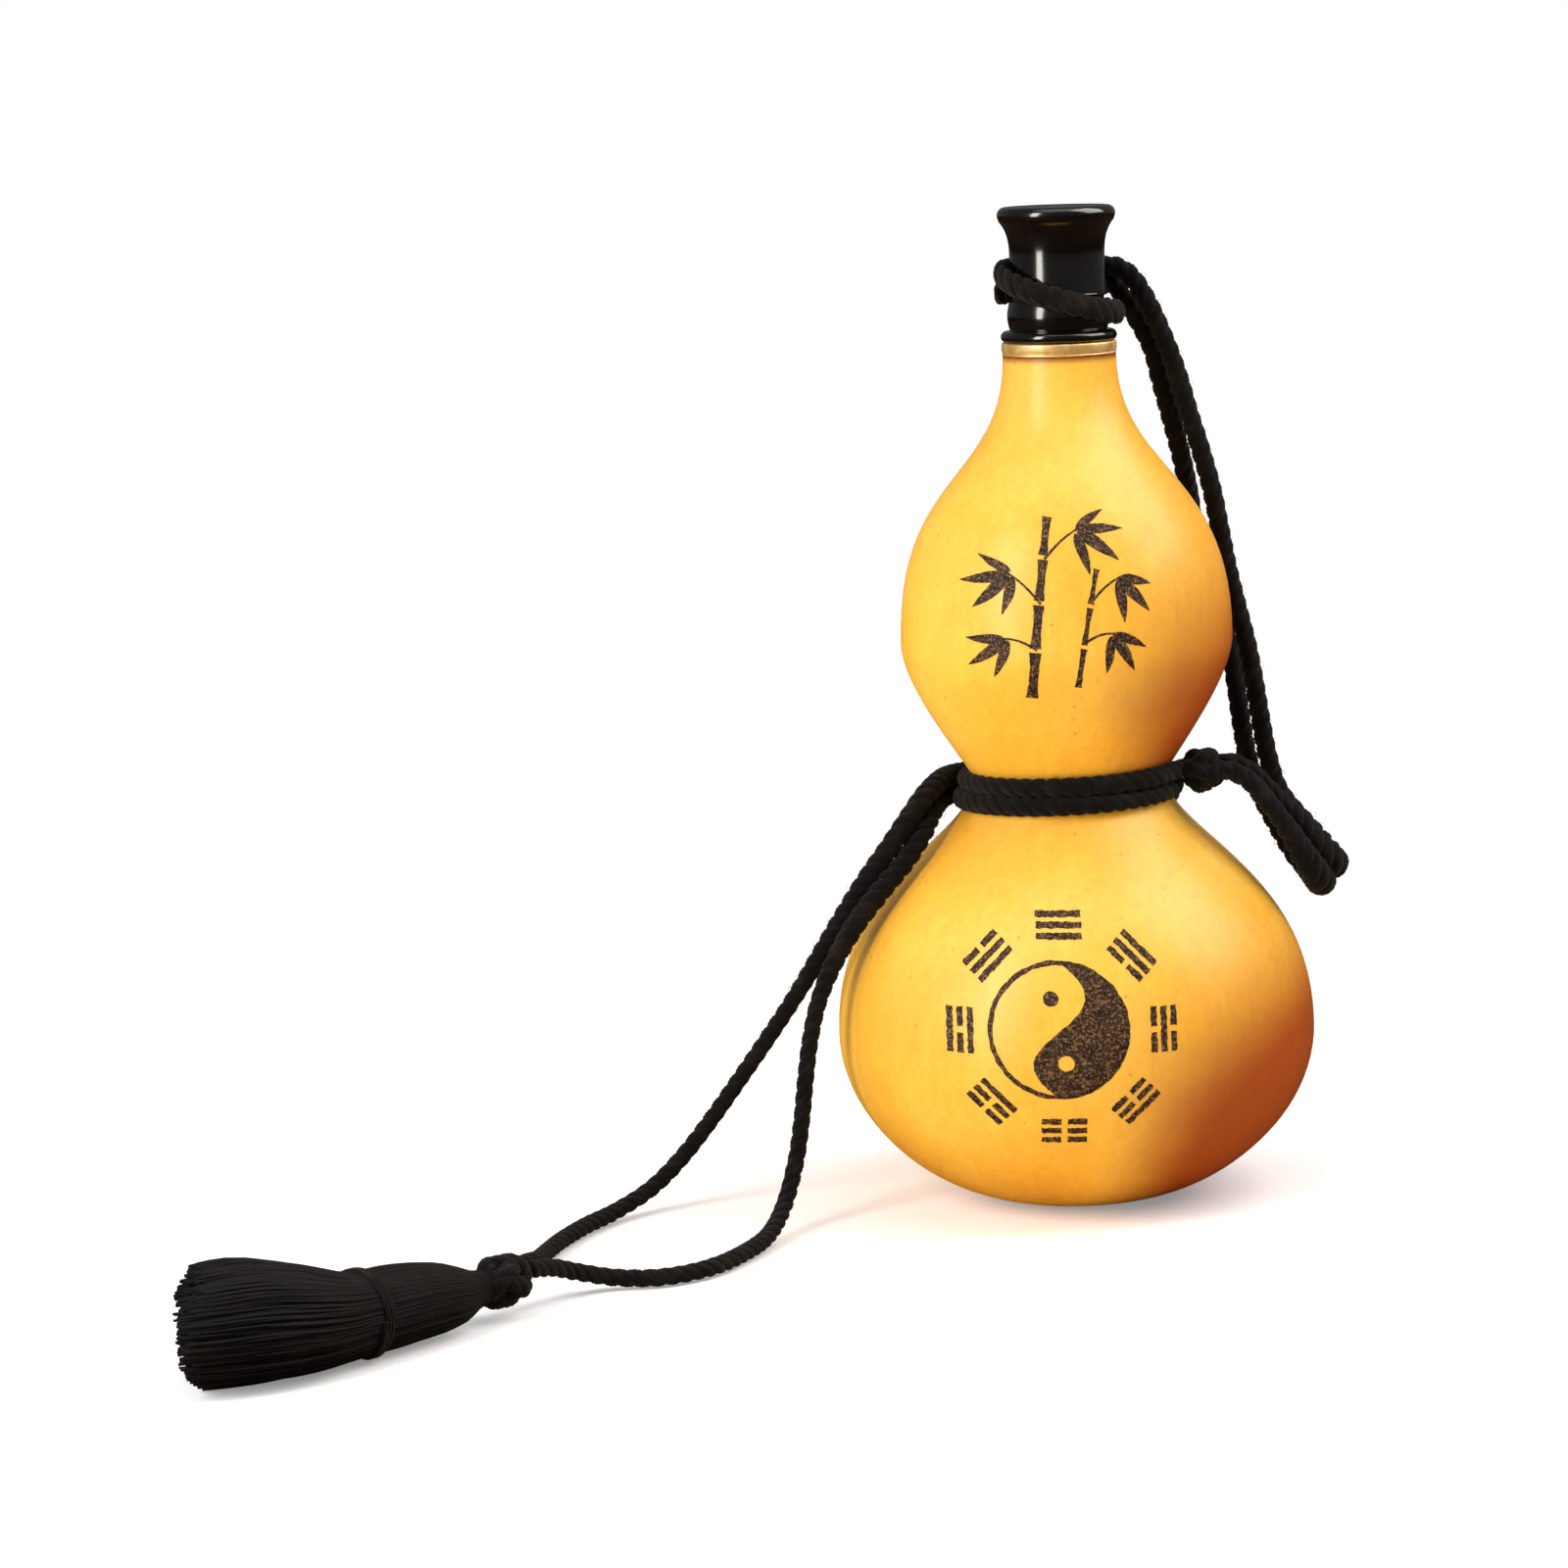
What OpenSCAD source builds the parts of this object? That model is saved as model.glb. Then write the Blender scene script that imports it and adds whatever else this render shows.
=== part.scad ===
// Gourd water bottle: a dried two-bulb gourd with a brass mouth, a push-in
// stopper on a leash, a cord wound round the waist and a tassel on the table.
// The origin is the centre of the base, +Z is up and the engraved side faces -Y.

/* [Gourd] */
// Radius of the flat that the gourd stands on
foot_r = 13; // [9:0.5:16]
// Widest radius of the lower bulb
lower_r = 48.8; // [46:0.1:52]
// Height of the lower bulb's widest place
lower_z = 34.4; // [31:0.1:38]
// Radius of the waist
waist_r = 19.6; // [18.5:0.1:21]
// Height of the waist
waist_z = 86.2; // [85:0.1:88]
// Widest radius of the upper bulb
upper_r = 33.7; // [31:0.1:34]
// Height of the upper bulb's widest place
upper_z = 114.5; // [112:0.1:117]
// Radius of the neck where it is cut off
neck_r = 11.4; // [11.2:0.1:12.5]
// Height at which the neck is cut off
neck_z = 172; // [170:0.5:180]
// Thickness of the gourd's wall
wall = 3.2; // [2.4:0.1:4]
// Thickness of the wax lining
wax = 0.4; // [0.3:0.05:0.8]

/* [Brass mouth] */
// Radius of the brass rim
rim_r = 11.6; // [11:0.1:13]
// Height of the brass rim
rim_h = 2.7; // [2:0.1:4]
// Outer radius of the sleeve that is glued into the neck
sleeve_r = 8.2; // [8:0.1:8.6]
// Radius of the mouth's bore
bore_r = 6.5; // [5.5:0.1:6.8]
// Length of the sleeve below the rim
sleeve_l = 16; // [12:0.5:17]
// Glue gap round the sleeve
glue_gap = 0.05; // [0.02:0.01:0.1]

/* [Stopper] */
// Radius of the bead at the stopper's base
bead_r = 11.7; // [11:0.1:12.5]
// Height of the bead
bead_h = 2.3; // [1.8:0.1:2.8]
// Radius of the drum above the bead
drum_r = 10.3; // [10:0.1:10.8]
// Height of the drum
drum_h = 5.9; // [5:0.1:6.5]
// Radius of the groove above the drum
groove_r = 9.3; // [9:0.1:9.6]
// Width of the groove
groove_w = 1; // [0.8:0.1:1.4]
// Radius of the shoulder where the knob begins
shoulder_r = 10.1; // [9.8:0.1:10.4]
// Radius of the knob's narrowest place
grip_r = 9.6; // [9:0.1:9.8]
// Radius of the knob's lip
lip_r = 11.9; // [11:0.1:12.5]
// Thickness of the rounded lip
lip_h = 3.2; // [2.4:0.1:3.6]
// Height of the knob above the groove
knob_h = 17.9; // [16:0.1:22]
// Depth of the dish in the knob's top
dish_h = 0.6; // [0.3:0.1:1]
// Radius of the stem's spigot inside the stopper
spigot_r = 4; // [3:0.1:4.5]
// Length of the spigot
spigot_l = 12; // [8:0.5:14]
// Length of the stem below the stopper
stem_l = 15; // [13:0.5:16]
// Running clearance of the stem in the bore
stem_gap = 0.08; // [0.04:0.01:0.1]
// Thickness of the seal rings
seal_d = 1.3; // [1:0.1:1.5]
// Running clearance of the seal rings in the bore
seal_gap = 0.05; // [0.03:0.01:0.08]
// Depth of the upper seal ring below the stopper
upper_seal_z = 4.5; // [3.5:0.1:6]
// Depth of the lower seal ring below the stopper
lower_seal_z = 10.5; // [9:0.1:12]

/* [Cord] */
// Diameter of the twisted cotton cord
cord_d = 3.2; // [2.8:0.1:3.3]
// Height of the winding's middle across the gourd's front
band_z = 85.3; // [84:0.1:86]
// Free gap between the turns round the waist
turn_gap = 0.5; // [0.45:0.05:0.8]
// Gap at which the cord lies off what it is wound on
seat_gap = 0.3; // [0.2:0.05:0.4]
// Radius of the knots at the waist and behind the stopper
knot_r = 3.7; // [3.4:0.1:3.8]
// Height of the hitch above the rim where it starts
hitch_high = 14.3; // [13.5:0.1:15]
// Height of the hitch above the rim where it is lowest
hitch_low = 5.6; // [5:0.1:6]

/* [Tassel] */
// Height of the tassel's axis above the table
tassel_z = 8.6; // [8.5:0.1:10]
// Radius of the tassel's knot
tie_r = 5; // [4.6:0.1:5.5]
// Length of the tassel's knot
tie_l = 9.5; // [8:0.5:11]
// Radius of the tassel's head
head_r = 8; // [7.5:0.1:8.3]
// Length of the tassel's head
head_l = 28.5; // [26:0.5:30]
// Radius of the bound neck
bound_r = 7.3; // [6.5:0.1:7.6]
// Thickness of the binding thread
thread_d = 0.9; // [0.6:0.1:1]
// Turns of the binding thread
thread_turns = 3; // [2:1:4]

/* [Hidden] */

$fn = 96;
cord_r = cord_d / 2;
rim_z = neck_z + rim_h;
curve_steps = 12;

// A point on a cubic curve with four control points
function cubic(a, b, c, d, t) =
    pow(1 - t, 3) * a + 3 * pow(1 - t, 2) * t * b
    + 3 * (1 - t) * t * t * c + pow(t, 3) * d;

// A stretch of the gourd's outline, upright at both ends. The two shares say
// how far each end keeps its direction.
function stretch(low, high, low_share, high_share) =
    let (rise = high[1] - low[1])
    [for (i = [1:curve_steps])
        cubic(low, low + [0, rise * low_share],
            high - [0, rise * high_share], high, i / curve_steps)];

foot = [foot_r, 0];
lower = [lower_r, lower_z];
waist = [waist_r, waist_z];
upper = [upper_r, upper_z];
neck = [neck_r, neck_z];

// The rounded underside leaves the foot level and meets the bulb upright
underside = [for (i = [0:curve_steps])
    cubic(foot, foot + [(lower_r - foot_r) * 0.43, 0],
        lower - [0, lower_z * 0.56], lower, i / curve_steps)];

outline = concat(underside,
    stretch(lower, waist, 0.62, 0.24),
    stretch(waist, upper, 0.08, 0.34),
    stretch(upper, neck, 0.6, 0.43));

// Direction out of the wall at each point of an outline
function out_of(points, i) =
    let (last = len(points) - 1)
    let (along = points[min(i + 1, last)] - points[max(i - 1, 0)])
    [along[1], -along[0]] / norm(along);

// The outline moved inwards, kept off the axis
function inset(points, depth) =
    [for (i = [0:len(points) - 1])
        let (p = points[i] - depth * out_of(points, i))
        [max(p[0], 0), p[1]]];

// Radius of the gourd at a height above its widest place
function radius_at(z) =
    lookup(z, [for (p = outline) if (p[1] >= lower_z) [p[1], p[0]]]);

// Radius at which a ball of a given radius touches the gourd from outside
function rolled_radius(z, ball) =
    max([for (a = [-75:15:75]) radius_at(z + ball * sin(a)) + ball * cos(a)]);

// The bored neck is thicker than the wall, down to just below the sleeve
bore_z = neck_z - sleeve_l - 0.5;
neck_taper = 4;
function cavity(depth) =
    [for (p = inset(outline, depth)) if (p[1] < bore_z - neck_taper) p];

module gourd_shell() {
    inside = cavity(wall);
    top = inside[len(inside) - 1];
    neck_hole = [[sleeve_r + glue_gap, bore_z], [sleeve_r + glue_gap, neck_z]];
    color("#F7C04A")
        rotate_extrude()
            polygon(concat([[0, 0]], outline,
                [neck_hole[1], neck_hole[0], top],
                [for (i = [len(inside) - 2:-1:0]) inside[i]],
                [[0, inside[0][1]]]));
}

module wax_lining() {
    skin = cavity(wall);
    inside = [for (p = inset(outline, wall + wax)) if (p[1] < bore_z - neck_taper) p];
    color("#B98A3C")
        rotate_extrude()
            polygon(concat([[0, skin[0][1]]], skin,
                [for (i = [len(inside) - 1:-1:0]) inside[i]],
                [[0, inside[0][1]]]));
}

module brass_mouth() {
    edge = 0.35;
    lead = 0.6;
    color("#D9A441")
        rotate_extrude()
            polygon([[bore_r, neck_z - sleeve_l + lead],
                [bore_r + lead, neck_z - sleeve_l],
                [sleeve_r, neck_z - sleeve_l],
                [sleeve_r, neck_z],
                [rim_r - 2 * edge, neck_z],
                [rim_r - edge, neck_z + edge],
                [rim_r, neck_z + 2 * edge],
                [rim_r, rim_z - edge],
                [rim_r - edge, rim_z],
                [bore_r + lead, rim_z],
                [bore_r, rim_z - lead]]);
}

// Points round an arc in the outline's plane
function arc(centre, r, from, to, steps) =
    [for (i = [0:steps])
        let (a = from + (to - from) * i / steps)
        centre + r * [cos(a), sin(a)]];

// A side that swells by an amount between two heights
function swell(r, z0, z1, rise, steps) =
    [for (i = [1:steps - 1])
        [r + rise * sin(180 * i / steps), z0 + (z1 - z0) * i / steps]];

drum_z = rim_z + bead_h;
groove_z = drum_z + drum_h;
knob_z = groove_z + groove_w;
top_z = knob_z + knob_h;

module stopper_body() {
    bead = bead_h / 2;
    drum_swell = 0.5;
    lip = lip_h / 2;
    lip_z = top_z - lip;
    grip_z = knob_z + knob_h * 0.47;
    step = 0.6;
    flare = [for (i = [0:10])
        cubic([grip_r, grip_z], [grip_r, grip_z + knob_h * 0.18],
            [lip_r - lip, lip_z - lip - 1.2], [lip_r - lip * 0.2, lip_z - lip * 0.8], i / 10)];
    color("#15110F")
        difference() {
            rotate_extrude()
                polygon(concat(
                    [[0, rim_z]],
                    arc([bead_r - bead, rim_z + bead], bead, -90, 90, 10),
                    [[drum_r - drum_swell, drum_z]],
                    swell(drum_r - drum_swell, drum_z, groove_z, drum_swell, 8),
                    [[drum_r - drum_swell, groove_z], [groove_r, groove_z + 0.2],
                        [groove_r, knob_z - 0.2]],
                    [[shoulder_r - 0.3, knob_z], [shoulder_r, knob_z + step / 2],
                        [shoulder_r - 0.1, knob_z + step]],
                    flare,
                    arc([lip_r - lip, lip_z], lip, -20, 90, 10),
                    [[lip_r - 2 * lip, top_z - dish_h / 2], [0, top_z - dish_h]]));
            translate([0, 0, rim_z - 1])
                cylinder(r = spigot_r, h = spigot_l + 1);
        }
}

// The seal rings lie in grooves, with a little play
groove_floor = bore_r - seal_gap - seal_d - 0.05;
groove_play = 0.3;

module stopper_stem() {
    tip = 1;
    stem_r = bore_r - stem_gap;
    color("#1D1A18")
        difference() {
            union() {
                translate([0, 0, rim_z - stem_l + tip])
                    cylinder(r = stem_r, h = stem_l - tip);
                translate([0, 0, rim_z - stem_l])
                    cylinder(r1 = stem_r - tip, r2 = stem_r, h = tip);
                translate([0, 0, rim_z])
                    cylinder(r = spigot_r, h = spigot_l);
            }
            for (depth = [upper_seal_z, lower_seal_z])
                translate([0, 0, rim_z - depth - (seal_d + groove_play) / 2])
                    difference() {
                        cylinder(r = bore_r + 1, h = seal_d + groove_play);
                        translate([0, 0, -1])
                            cylinder(r = groove_floor, h = seal_d + groove_play + 2);
                    }
        }
}

module seal_ring(depth) {
    color("#3A3A3C")
        translate([0, 0, rim_z - depth])
            rotate_extrude()
                translate([bore_r - seal_gap - seal_d / 2, 0])
                    circle(d = seal_d, $fn = 32);
}

module upper_seal_ring() {
    seal_ring(upper_seal_z);
}

module lower_seal_ring() {
    seal_ring(lower_seal_z);
}

function unit(v) = v / norm(v);

// Direction of a route at each of its points
function heading(route, i) =
    unit(route[min(i + 1, len(route) - 1)] - route[max(i - 1, 0)]);

// A side direction carried along the route without twist
function sides(route) =
    let (first = heading(route, 0))
    let (start = unit(cross(first, abs(first[2]) < 0.8 ? [0, 0, 1] : [0, 1, 0])))
    [for (i = 0, s = start; i < len(route);
        i = i + 1,
        s = i < len(route) ? unit(s - (s * heading(route, i)) * heading(route, i)) : s) s];

// Closed skin over rings that all have the same number of points
module skin(rings) {
    n = len(rings[0]);
    count = len(rings);
    polyhedron(
        points = [for (ring = rings) each ring],
        faces = concat(
            [[for (k = [0:n - 1]) k]],
            [for (i = [0:count - 2], k = [0:n - 1])
                [i * n + k, (i + 1) * n + k, (i + 1) * n + (k + 1) % n]],
            [for (i = [0:count - 2], k = [0:n - 1])
                [i * n + k, (i + 1) * n + (k + 1) % n, i * n + (k + 1) % n]],
            [[for (k = [n - 1:-1:0]) (count - 1) * n + k]]));
}

// A round tube along a route
module tube(route, r, n) {
    side = sides(route);
    skin([for (i = [0:len(route) - 1])
        let (other = cross(heading(route, i), side[i]))
        [for (k = [0:n - 1])
            route[i] + r * (cos(360 * k / n) * side[i] + sin(360 * k / n) * other)]]);
}

// Least distance between stretches of a route that are more than skip apart
function least_gap(route, skip) =
    min([for (i = [0:len(route) - 1 - skip], k = [i + skip:len(route) - 1])
        norm(route[i] - route[k])]);

// Least distance of a route from the gourd's outline
function off_gourd(route) =
    min([for (p = route, q = outline)
        norm([norm([p[0], p[1]]) - q[0], p[2] - q[1]])]);

// Least distance between two routes
function apart(one, other) =
    min([for (p = one, q = other) norm(p - q)]);

loop_rings = 24;
loop_sides = 6;
strand_sides = 8;
ease = function (t) t <= 0 ? 0 : t >= 1 ? 1 : t * t * (3 - 2 * t);

// The hitch starts behind the stopper, passes its left side, drops across the
// front to the right, and ends behind on the left under its own start
hitch_from = 75;
hitch_to = 522;
hitch_turn = hitch_to - hitch_from;
hitch_drop = hitch_high - hitch_low;
hitch_rise = 4.2;
function hitch_z(a) = rim_z + hitch_high - hitch_drop * ease((a - 150) / 200)
    + hitch_rise * ease((a - 370) / 150);
function hitch_r(a) = cord_r + seat_gap
    + grip_r + 0.4 + (drum_r - grip_r) * ease((a - 150) / 120);
hitch_count = ceil(loop_rings * hitch_turn / 360);
hitch_loop = [for (i = [0:hitch_count])
    let (a = hitch_from + hitch_turn * i / hitch_count)
    [hitch_r(a) * cos(a), hitch_r(a) * sin(a), hitch_z(a)]];
// The start runs straight out to the right, where the leash meets it
hitch_lead = [for (s = [9.9, 6.6, 3.3])
    hitch_loop[0] + s * [sin(hitch_from), -cos(hitch_from), 0]];
hitch_tail = [hitch_loop[hitch_count]
    + cord_d * unit(hitch_loop[hitch_count] - hitch_loop[hitch_count - 1])];
hitch_route = concat(hitch_lead, hitch_loop, hitch_tail);
echo(hitch_gap = least_gap(hitch_route, 10) - cord_d);

module stopper_hitch() {
    color("#1A1818")
        tube(hitch_route, cord_r, loop_sides);
}

// The knot that closes the hitch lies behind it, where the leash begins
module hitch_knot() {
    color("#1A1818")
        translate([6.7, 16.3, rim_z + 12.2])
            sphere(r = knot_r, $fn = 48);
}

// The winding lies on the gourd. Both its ends are under the knot.
knot_at = [27.9, -5.7, band_z + 1.8];
knot_a = atan2(knot_at[1], knot_at[0]);
wrap_turns = 2;
wrap_lap = 8;
wrap_from = knot_a + wrap_lap / 2;
wrap_turn = 360 * wrap_turns - wrap_lap;
wrap_pitch = cord_d + turn_gap;
wrap_low = band_z - 0.65 * wrap_turns * wrap_pitch;
wrap_count = loop_rings * wrap_turns;
wrap_loop = [for (i = [0:wrap_count])
    let (a = wrap_from + wrap_turn * i / wrap_count)
    let (z = wrap_low + wrap_pitch * wrap_turn / 360 * i / wrap_count)
    let (r = rolled_radius(z, cord_r + seat_gap))
    [r * cos(a), r * sin(a), z]];
wrap_route = concat(
    [wrap_loop[0] + cord_d * unit(wrap_loop[0] - wrap_loop[1])],
    wrap_loop,
    [wrap_loop[wrap_count] + cord_d * unit(wrap_loop[wrap_count] - wrap_loop[wrap_count - 1])]);
echo(wrap_gap = least_gap(wrap_route, 12) - cord_d, wrap_off = off_gourd(wrap_route) - cord_r);

module waist_wrap() {
    color("#1A1818")
        tube(wrap_route, cord_r, loop_sides);
}

module waist_knot() {
    color("#1A1818")
        translate(knot_at)
            sphere(r = knot_r, $fn = 48);
}

// The outer leash strand drops from the hitch to the slack bight at the right
// and comes back up to the waist knot
leash_a = [[14.6, 9, 187.9], [17, 8.6, 184.6], [19.6, 8, 179.5], [22.6, 8, 172],
    [24.6, 8, 166], [26.5, 8.5, 159], [28.9, 9, 151], [31, 9.5, 143], [32.5, 10, 135],
    [33.9, 10, 127], [35.7, 10, 119], [37.6, 10, 111], [39, 10, 103], [40.2, 10, 95],
    [41.6, 10, 87], [44, 10.2, 79.5], [49.5, 10, 71.5], [52.6, 8, 67.6], [53.8, 3, 66],
    [52.6, -2, 67.6], [49.5, -4, 71.5], [45.5, -4.5, 76.5], [41, -4.8, 81.6],
    [37, -4.9, 86], [32.8, -4.8, 88.4]];
leash_b = [[11.6, 14, 186.6], [13, 13, 184.2], [15.6, 11.8, 180], [19.4, 11.2, 172.5],
    [21.3, 11.2, 165], [23.2, 11.4, 157.5], [25.2, 12.8, 149.5], [27, 16.6, 141],
    [28.2, 20.8, 132.5], [30.2, 22.6, 124.5], [33, 20.2, 116.5], [35, 17.4, 108.5],
    [35.9, 15.6, 101], [36.7, 14.4, 93.5], [37.9, 13.8, 86], [40.4, 13.6, 78.5],
    [46.5, 13, 68.5], [49.8, 10, 64.4], [51.1, 2.7, 62.6], [49.8, -4.6, 64.6],
    [46.9, -7.6, 69.2], [43.4, -8.4, 75.2], [39.6, -8.8, 80.6], [35.9, -8.9, 85.2],
    [31.9, -8.2, 87.4]];

// The tassel strands leave the winding at the back left, fall over the lower
// bulb's shoulder and lie on the table up to the tassel's knot
fall_a = [[-19, 17.4, 85.2], [-23.8, 9.8, 85.6], [-26.6, 1.8, 85.6], [-29.8, -4.6, 83.6],
    [-33.2, -8, 79.6], [-37, -10, 74.6], [-42.2, -11.4, 67.8], [-47.6, -12, 59.8],
    [-53, -11.6, 51.4], [-58.2, -10.6, 43.2], [-63.8, -9.6, 35], [-69.6, -8.6, 26.8],
    [-75.6, -8, 18.6], [-81.8, -8, 11], [-88.2, -10, 5.2], [-95.2, -16, 2.2], [-101, -26, 1.8],
    [-105.6, -38, 1.8], [-108.6, -50, 2], [-109.6, -62, 3.6], [-109, -73, 6.4],
    [-109.4, -80, 8.2], [-112.1, -85.3, 8.6]];
fall_b = [[-19.8, 18, 81.4], [-24.4, 10.8, 81.6], [-26.8, 3, 81.4], [-28.6, -3.4, 79.8],
    [-30.8, -8, 76.2], [-34.4, -11, 71.4], [-39.6, -13.6, 65.8], [-44.8, -15.4, 59.6],
    [-49.4, -17, 52.2], [-52.8, -18.8, 44.6], [-54.8, -20.6, 36.8], [-56, -22, 29],
    [-57, -23.2, 21.2], [-58.4, -25, 13.4], [-60.8, -30, 6.2], [-64, -40, 2.4], [-68.6, -52, 1.8],
    [-75.6, -64, 1.8], [-84.4, -70.2, 1.8], [-93.4, -71.2, 2.2], [-100.6, -74.8, 4.4],
    [-105.4, -80.8, 7], [-109.5, -87.9, 8.6]];
echo(leash_off = [off_gourd(leash_a) - cord_r, off_gourd(leash_b) - cord_r],
    fall_off = [off_gourd(fall_a) - cord_r, off_gourd(fall_b) - cord_r],
    leash_pair = apart(leash_a, leash_b) - cord_d, fall_pair = apart(fall_a, fall_b) - cord_d);

module strand(route) {
    color("#1A1818")
        tube(route, cord_r, strand_sides);
}

module leash_strand_a() {
    strand(leash_a);
}

module leash_strand_b() {
    strand(leash_b);
}

module tassel_strand_a() {
    strand(fall_a);
}

module tassel_strand_b() {
    strand(fall_b);
}

// The tassel's axis is level. Its knot, head and bound neck follow each other.
tassel_at = [-111.2, -87.2, tassel_z];
tassel_a = 225.5;
neck_l = thread_turns * thread_d + 0.6;

module on_tassel() {
    translate(tassel_at)
        rotate([0, 0, tassel_a])
            rotate([0, 90, 0])
                children();
}

module tassel_knot() {
    color("#161515")
        on_tassel()
            rotate_extrude()
                polygon(concat([[0, 0], [tie_r * 0.72, 0]],
                    swell(tie_r * 0.72, 0, tie_l, tie_r * 0.28, 10),
                    [[tie_r * 0.72, tie_l], [0, tie_l]]));
}

module tassel_head() {
    color("#161515")
        on_tassel()
            rotate_extrude()
                polygon(concat([[0, tie_l], [tie_r * 0.72, tie_l]],
                    [for (i = [1:12])
                        cubic([tie_r * 0.72, tie_l], [head_r * 0.95, tie_l + head_l * 0.1],
                            [head_r * 1.12, tie_l + head_l * 0.62],
                            [bound_r, tie_l + head_l], i / 12)],
                    [[bound_r, tie_l + head_l + neck_l], [0, tie_l + head_l + neck_l]]));
}

module tassel_binding() {
    thread_r = thread_d / 2;
    color("#222021")
        on_tassel()
            for (i = [0:thread_turns - 1])
                translate([0, 0, tie_l + head_l + 0.3 + thread_d * (i + 0.5)])
                    rotate_extrude()
                        translate([bound_r + thread_r, 0])
                            circle(r = thread_r, $fn = 24);
}

// The skirt spreads on the table. Each section has its place along the axis,
// its drift to the side, its half width and its half height.
skirt_parts = [[0, 0, 7.3, 7.3], [2.5, -0.4, 9.3, 8.5], [5.2, -1.2, 11.6, 9.6], [12.7, -3.5, 14.4, 11],
    [20.7, -6.6, 16.2, 11.6], [26.7, -10.2, 16.6, 10.6], [30.3, -13.2, 14.5, 7.8]];
skirt_sides = 20;

module tassel_skirt() {
    neck_end = tie_l + head_l + neck_l;
    share = bound_r / skirt_parts[0][2];
    rings = [for (i = [0:len(skirt_parts) - 1])
        let (part = skirt_parts[i])
        let (turn = i == 0 ? 0 : atan2(part[1] - skirt_parts[i - 1][1], part[0] - skirt_parts[i - 1][0]))
        [for (k = [0:skirt_sides - 1])
            let (a = 360 * k / skirt_sides)
            let (side = part[2] * share * cos(a))
            let (up = part[3] * share * sin(a))
            [neck_end + part[0] - side * sin(turn), part[1] + side * cos(turn),
                i == 0 ? up : max(up, -part[3] * 0.94) + part[3] * 0.94 - tassel_z]]];
    color("#161515")
        translate(tassel_at)
            rotate([0, 0, tassel_a])
                skin([for (i = [len(rings) - 1:-1:0]) rings[i]]);
}

gourd_shell();
wax_lining();
brass_mouth();
stopper_body();
stopper_stem();
upper_seal_ring();
lower_seal_ring();
stopper_hitch();
hitch_knot();
leash_strand_a();
leash_strand_b();
waist_wrap();
waist_knot();
tassel_strand_a();
tassel_strand_b();
tassel_knot();
tassel_head();
tassel_binding();
tassel_skirt();
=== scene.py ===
import math
import random
import bpy
from mathutils import Matrix, Vector


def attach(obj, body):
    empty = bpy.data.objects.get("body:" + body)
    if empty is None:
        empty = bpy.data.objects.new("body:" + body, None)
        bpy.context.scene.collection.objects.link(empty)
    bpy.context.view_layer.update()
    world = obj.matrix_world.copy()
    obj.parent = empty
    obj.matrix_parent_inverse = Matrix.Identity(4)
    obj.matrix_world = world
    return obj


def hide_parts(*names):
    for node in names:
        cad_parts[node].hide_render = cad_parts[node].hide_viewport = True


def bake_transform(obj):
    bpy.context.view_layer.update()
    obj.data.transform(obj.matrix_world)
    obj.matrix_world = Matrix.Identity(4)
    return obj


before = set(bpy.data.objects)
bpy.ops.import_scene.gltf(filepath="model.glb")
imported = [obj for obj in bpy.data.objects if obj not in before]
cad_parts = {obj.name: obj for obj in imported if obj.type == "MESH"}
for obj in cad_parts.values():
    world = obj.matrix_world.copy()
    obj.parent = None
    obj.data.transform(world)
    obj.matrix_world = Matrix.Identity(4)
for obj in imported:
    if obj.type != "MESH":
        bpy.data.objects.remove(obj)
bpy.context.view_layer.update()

# Gourd water bottle. The camera comes first, then the cords and the tassel, the gourd with
# its burnt marks, the mouth, the stopper, the pieces inside, and the room.

mm = 0.001
dice = random.Random(7)
print('frame loaded')


# Helpers

def turned(degrees, axis):
    return Matrix.Rotation(math.radians(degrees), 4, axis)


def linearColour(code):
    parts = [int(code[i:i + 2], 16) / 255 for i in (1, 3, 5)]
    straight = [p / 12.92 if p <= 0.04045 else ((p + 0.055) / 1.055) ** 2.4 for p in parts]
    return (*straight, 1.0)


def addNode(tree, kind, settings=None, links=None, stops=()):
    # A setting that starts with # is a colour, and a node in the links is its first output
    made = tree.nodes.new('ShaderNode' + kind)
    for name, value in (settings or {}).items():
        if str(value).startswith('#'):
            value = linearColour(value)
        if isinstance(name, int) or name in made.inputs:
            made.inputs[name].default_value = value
        else:
            setattr(made, name, value)
    for name, source in (links or {}).items():
        source = source.outputs[0] if isinstance(source, bpy.types.Node) else source
        tree.links.new(source, made.inputs[name])
    if stops:
        elements = made.color_ramp.elements
        while len(elements) < len(stops):
            elements.new(0.5)
        for element, (place, colour) in zip(elements, stops):
            element.position = place
            element.color = linearColour(colour)
    return made


def newMaterial(name, scale, detail, stops):
    # Every finish starts from a cloudy pattern of a few colours, read on the object's own place
    made = bpy.data.materials.new(name)
    made.use_nodes = True
    tree = made.node_tree
    tree.nodes.clear()
    place = addNode(tree, 'TexCoord').outputs['Object']
    cloud = addNode(tree, 'TexNoise', {'Scale': scale, 'Detail': detail}, {'Vector': place})
    tone = addNode(tree, 'ValToRGB', None, {'Fac': cloud}, stops)
    return made, tree, place, cloud, tone


def closeMaterial(tree, settings, links):
    shader = addNode(tree, 'BsdfPrincipled', settings, links)
    addNode(tree, 'OutputMaterial', links={'Surface': shader})


def finishPiece(piece, material, body=None, nodes=()):
    piece.data.materials.clear()
    piece.data.materials.append(material)
    if body:
        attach(piece, body)
    if nodes:
        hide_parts(*nodes)


def selectOnly(piece):
    bpy.ops.object.select_all(action='DESELECT')
    piece.select_set(True)
    bpy.context.view_layer.objects.active = piece


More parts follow.
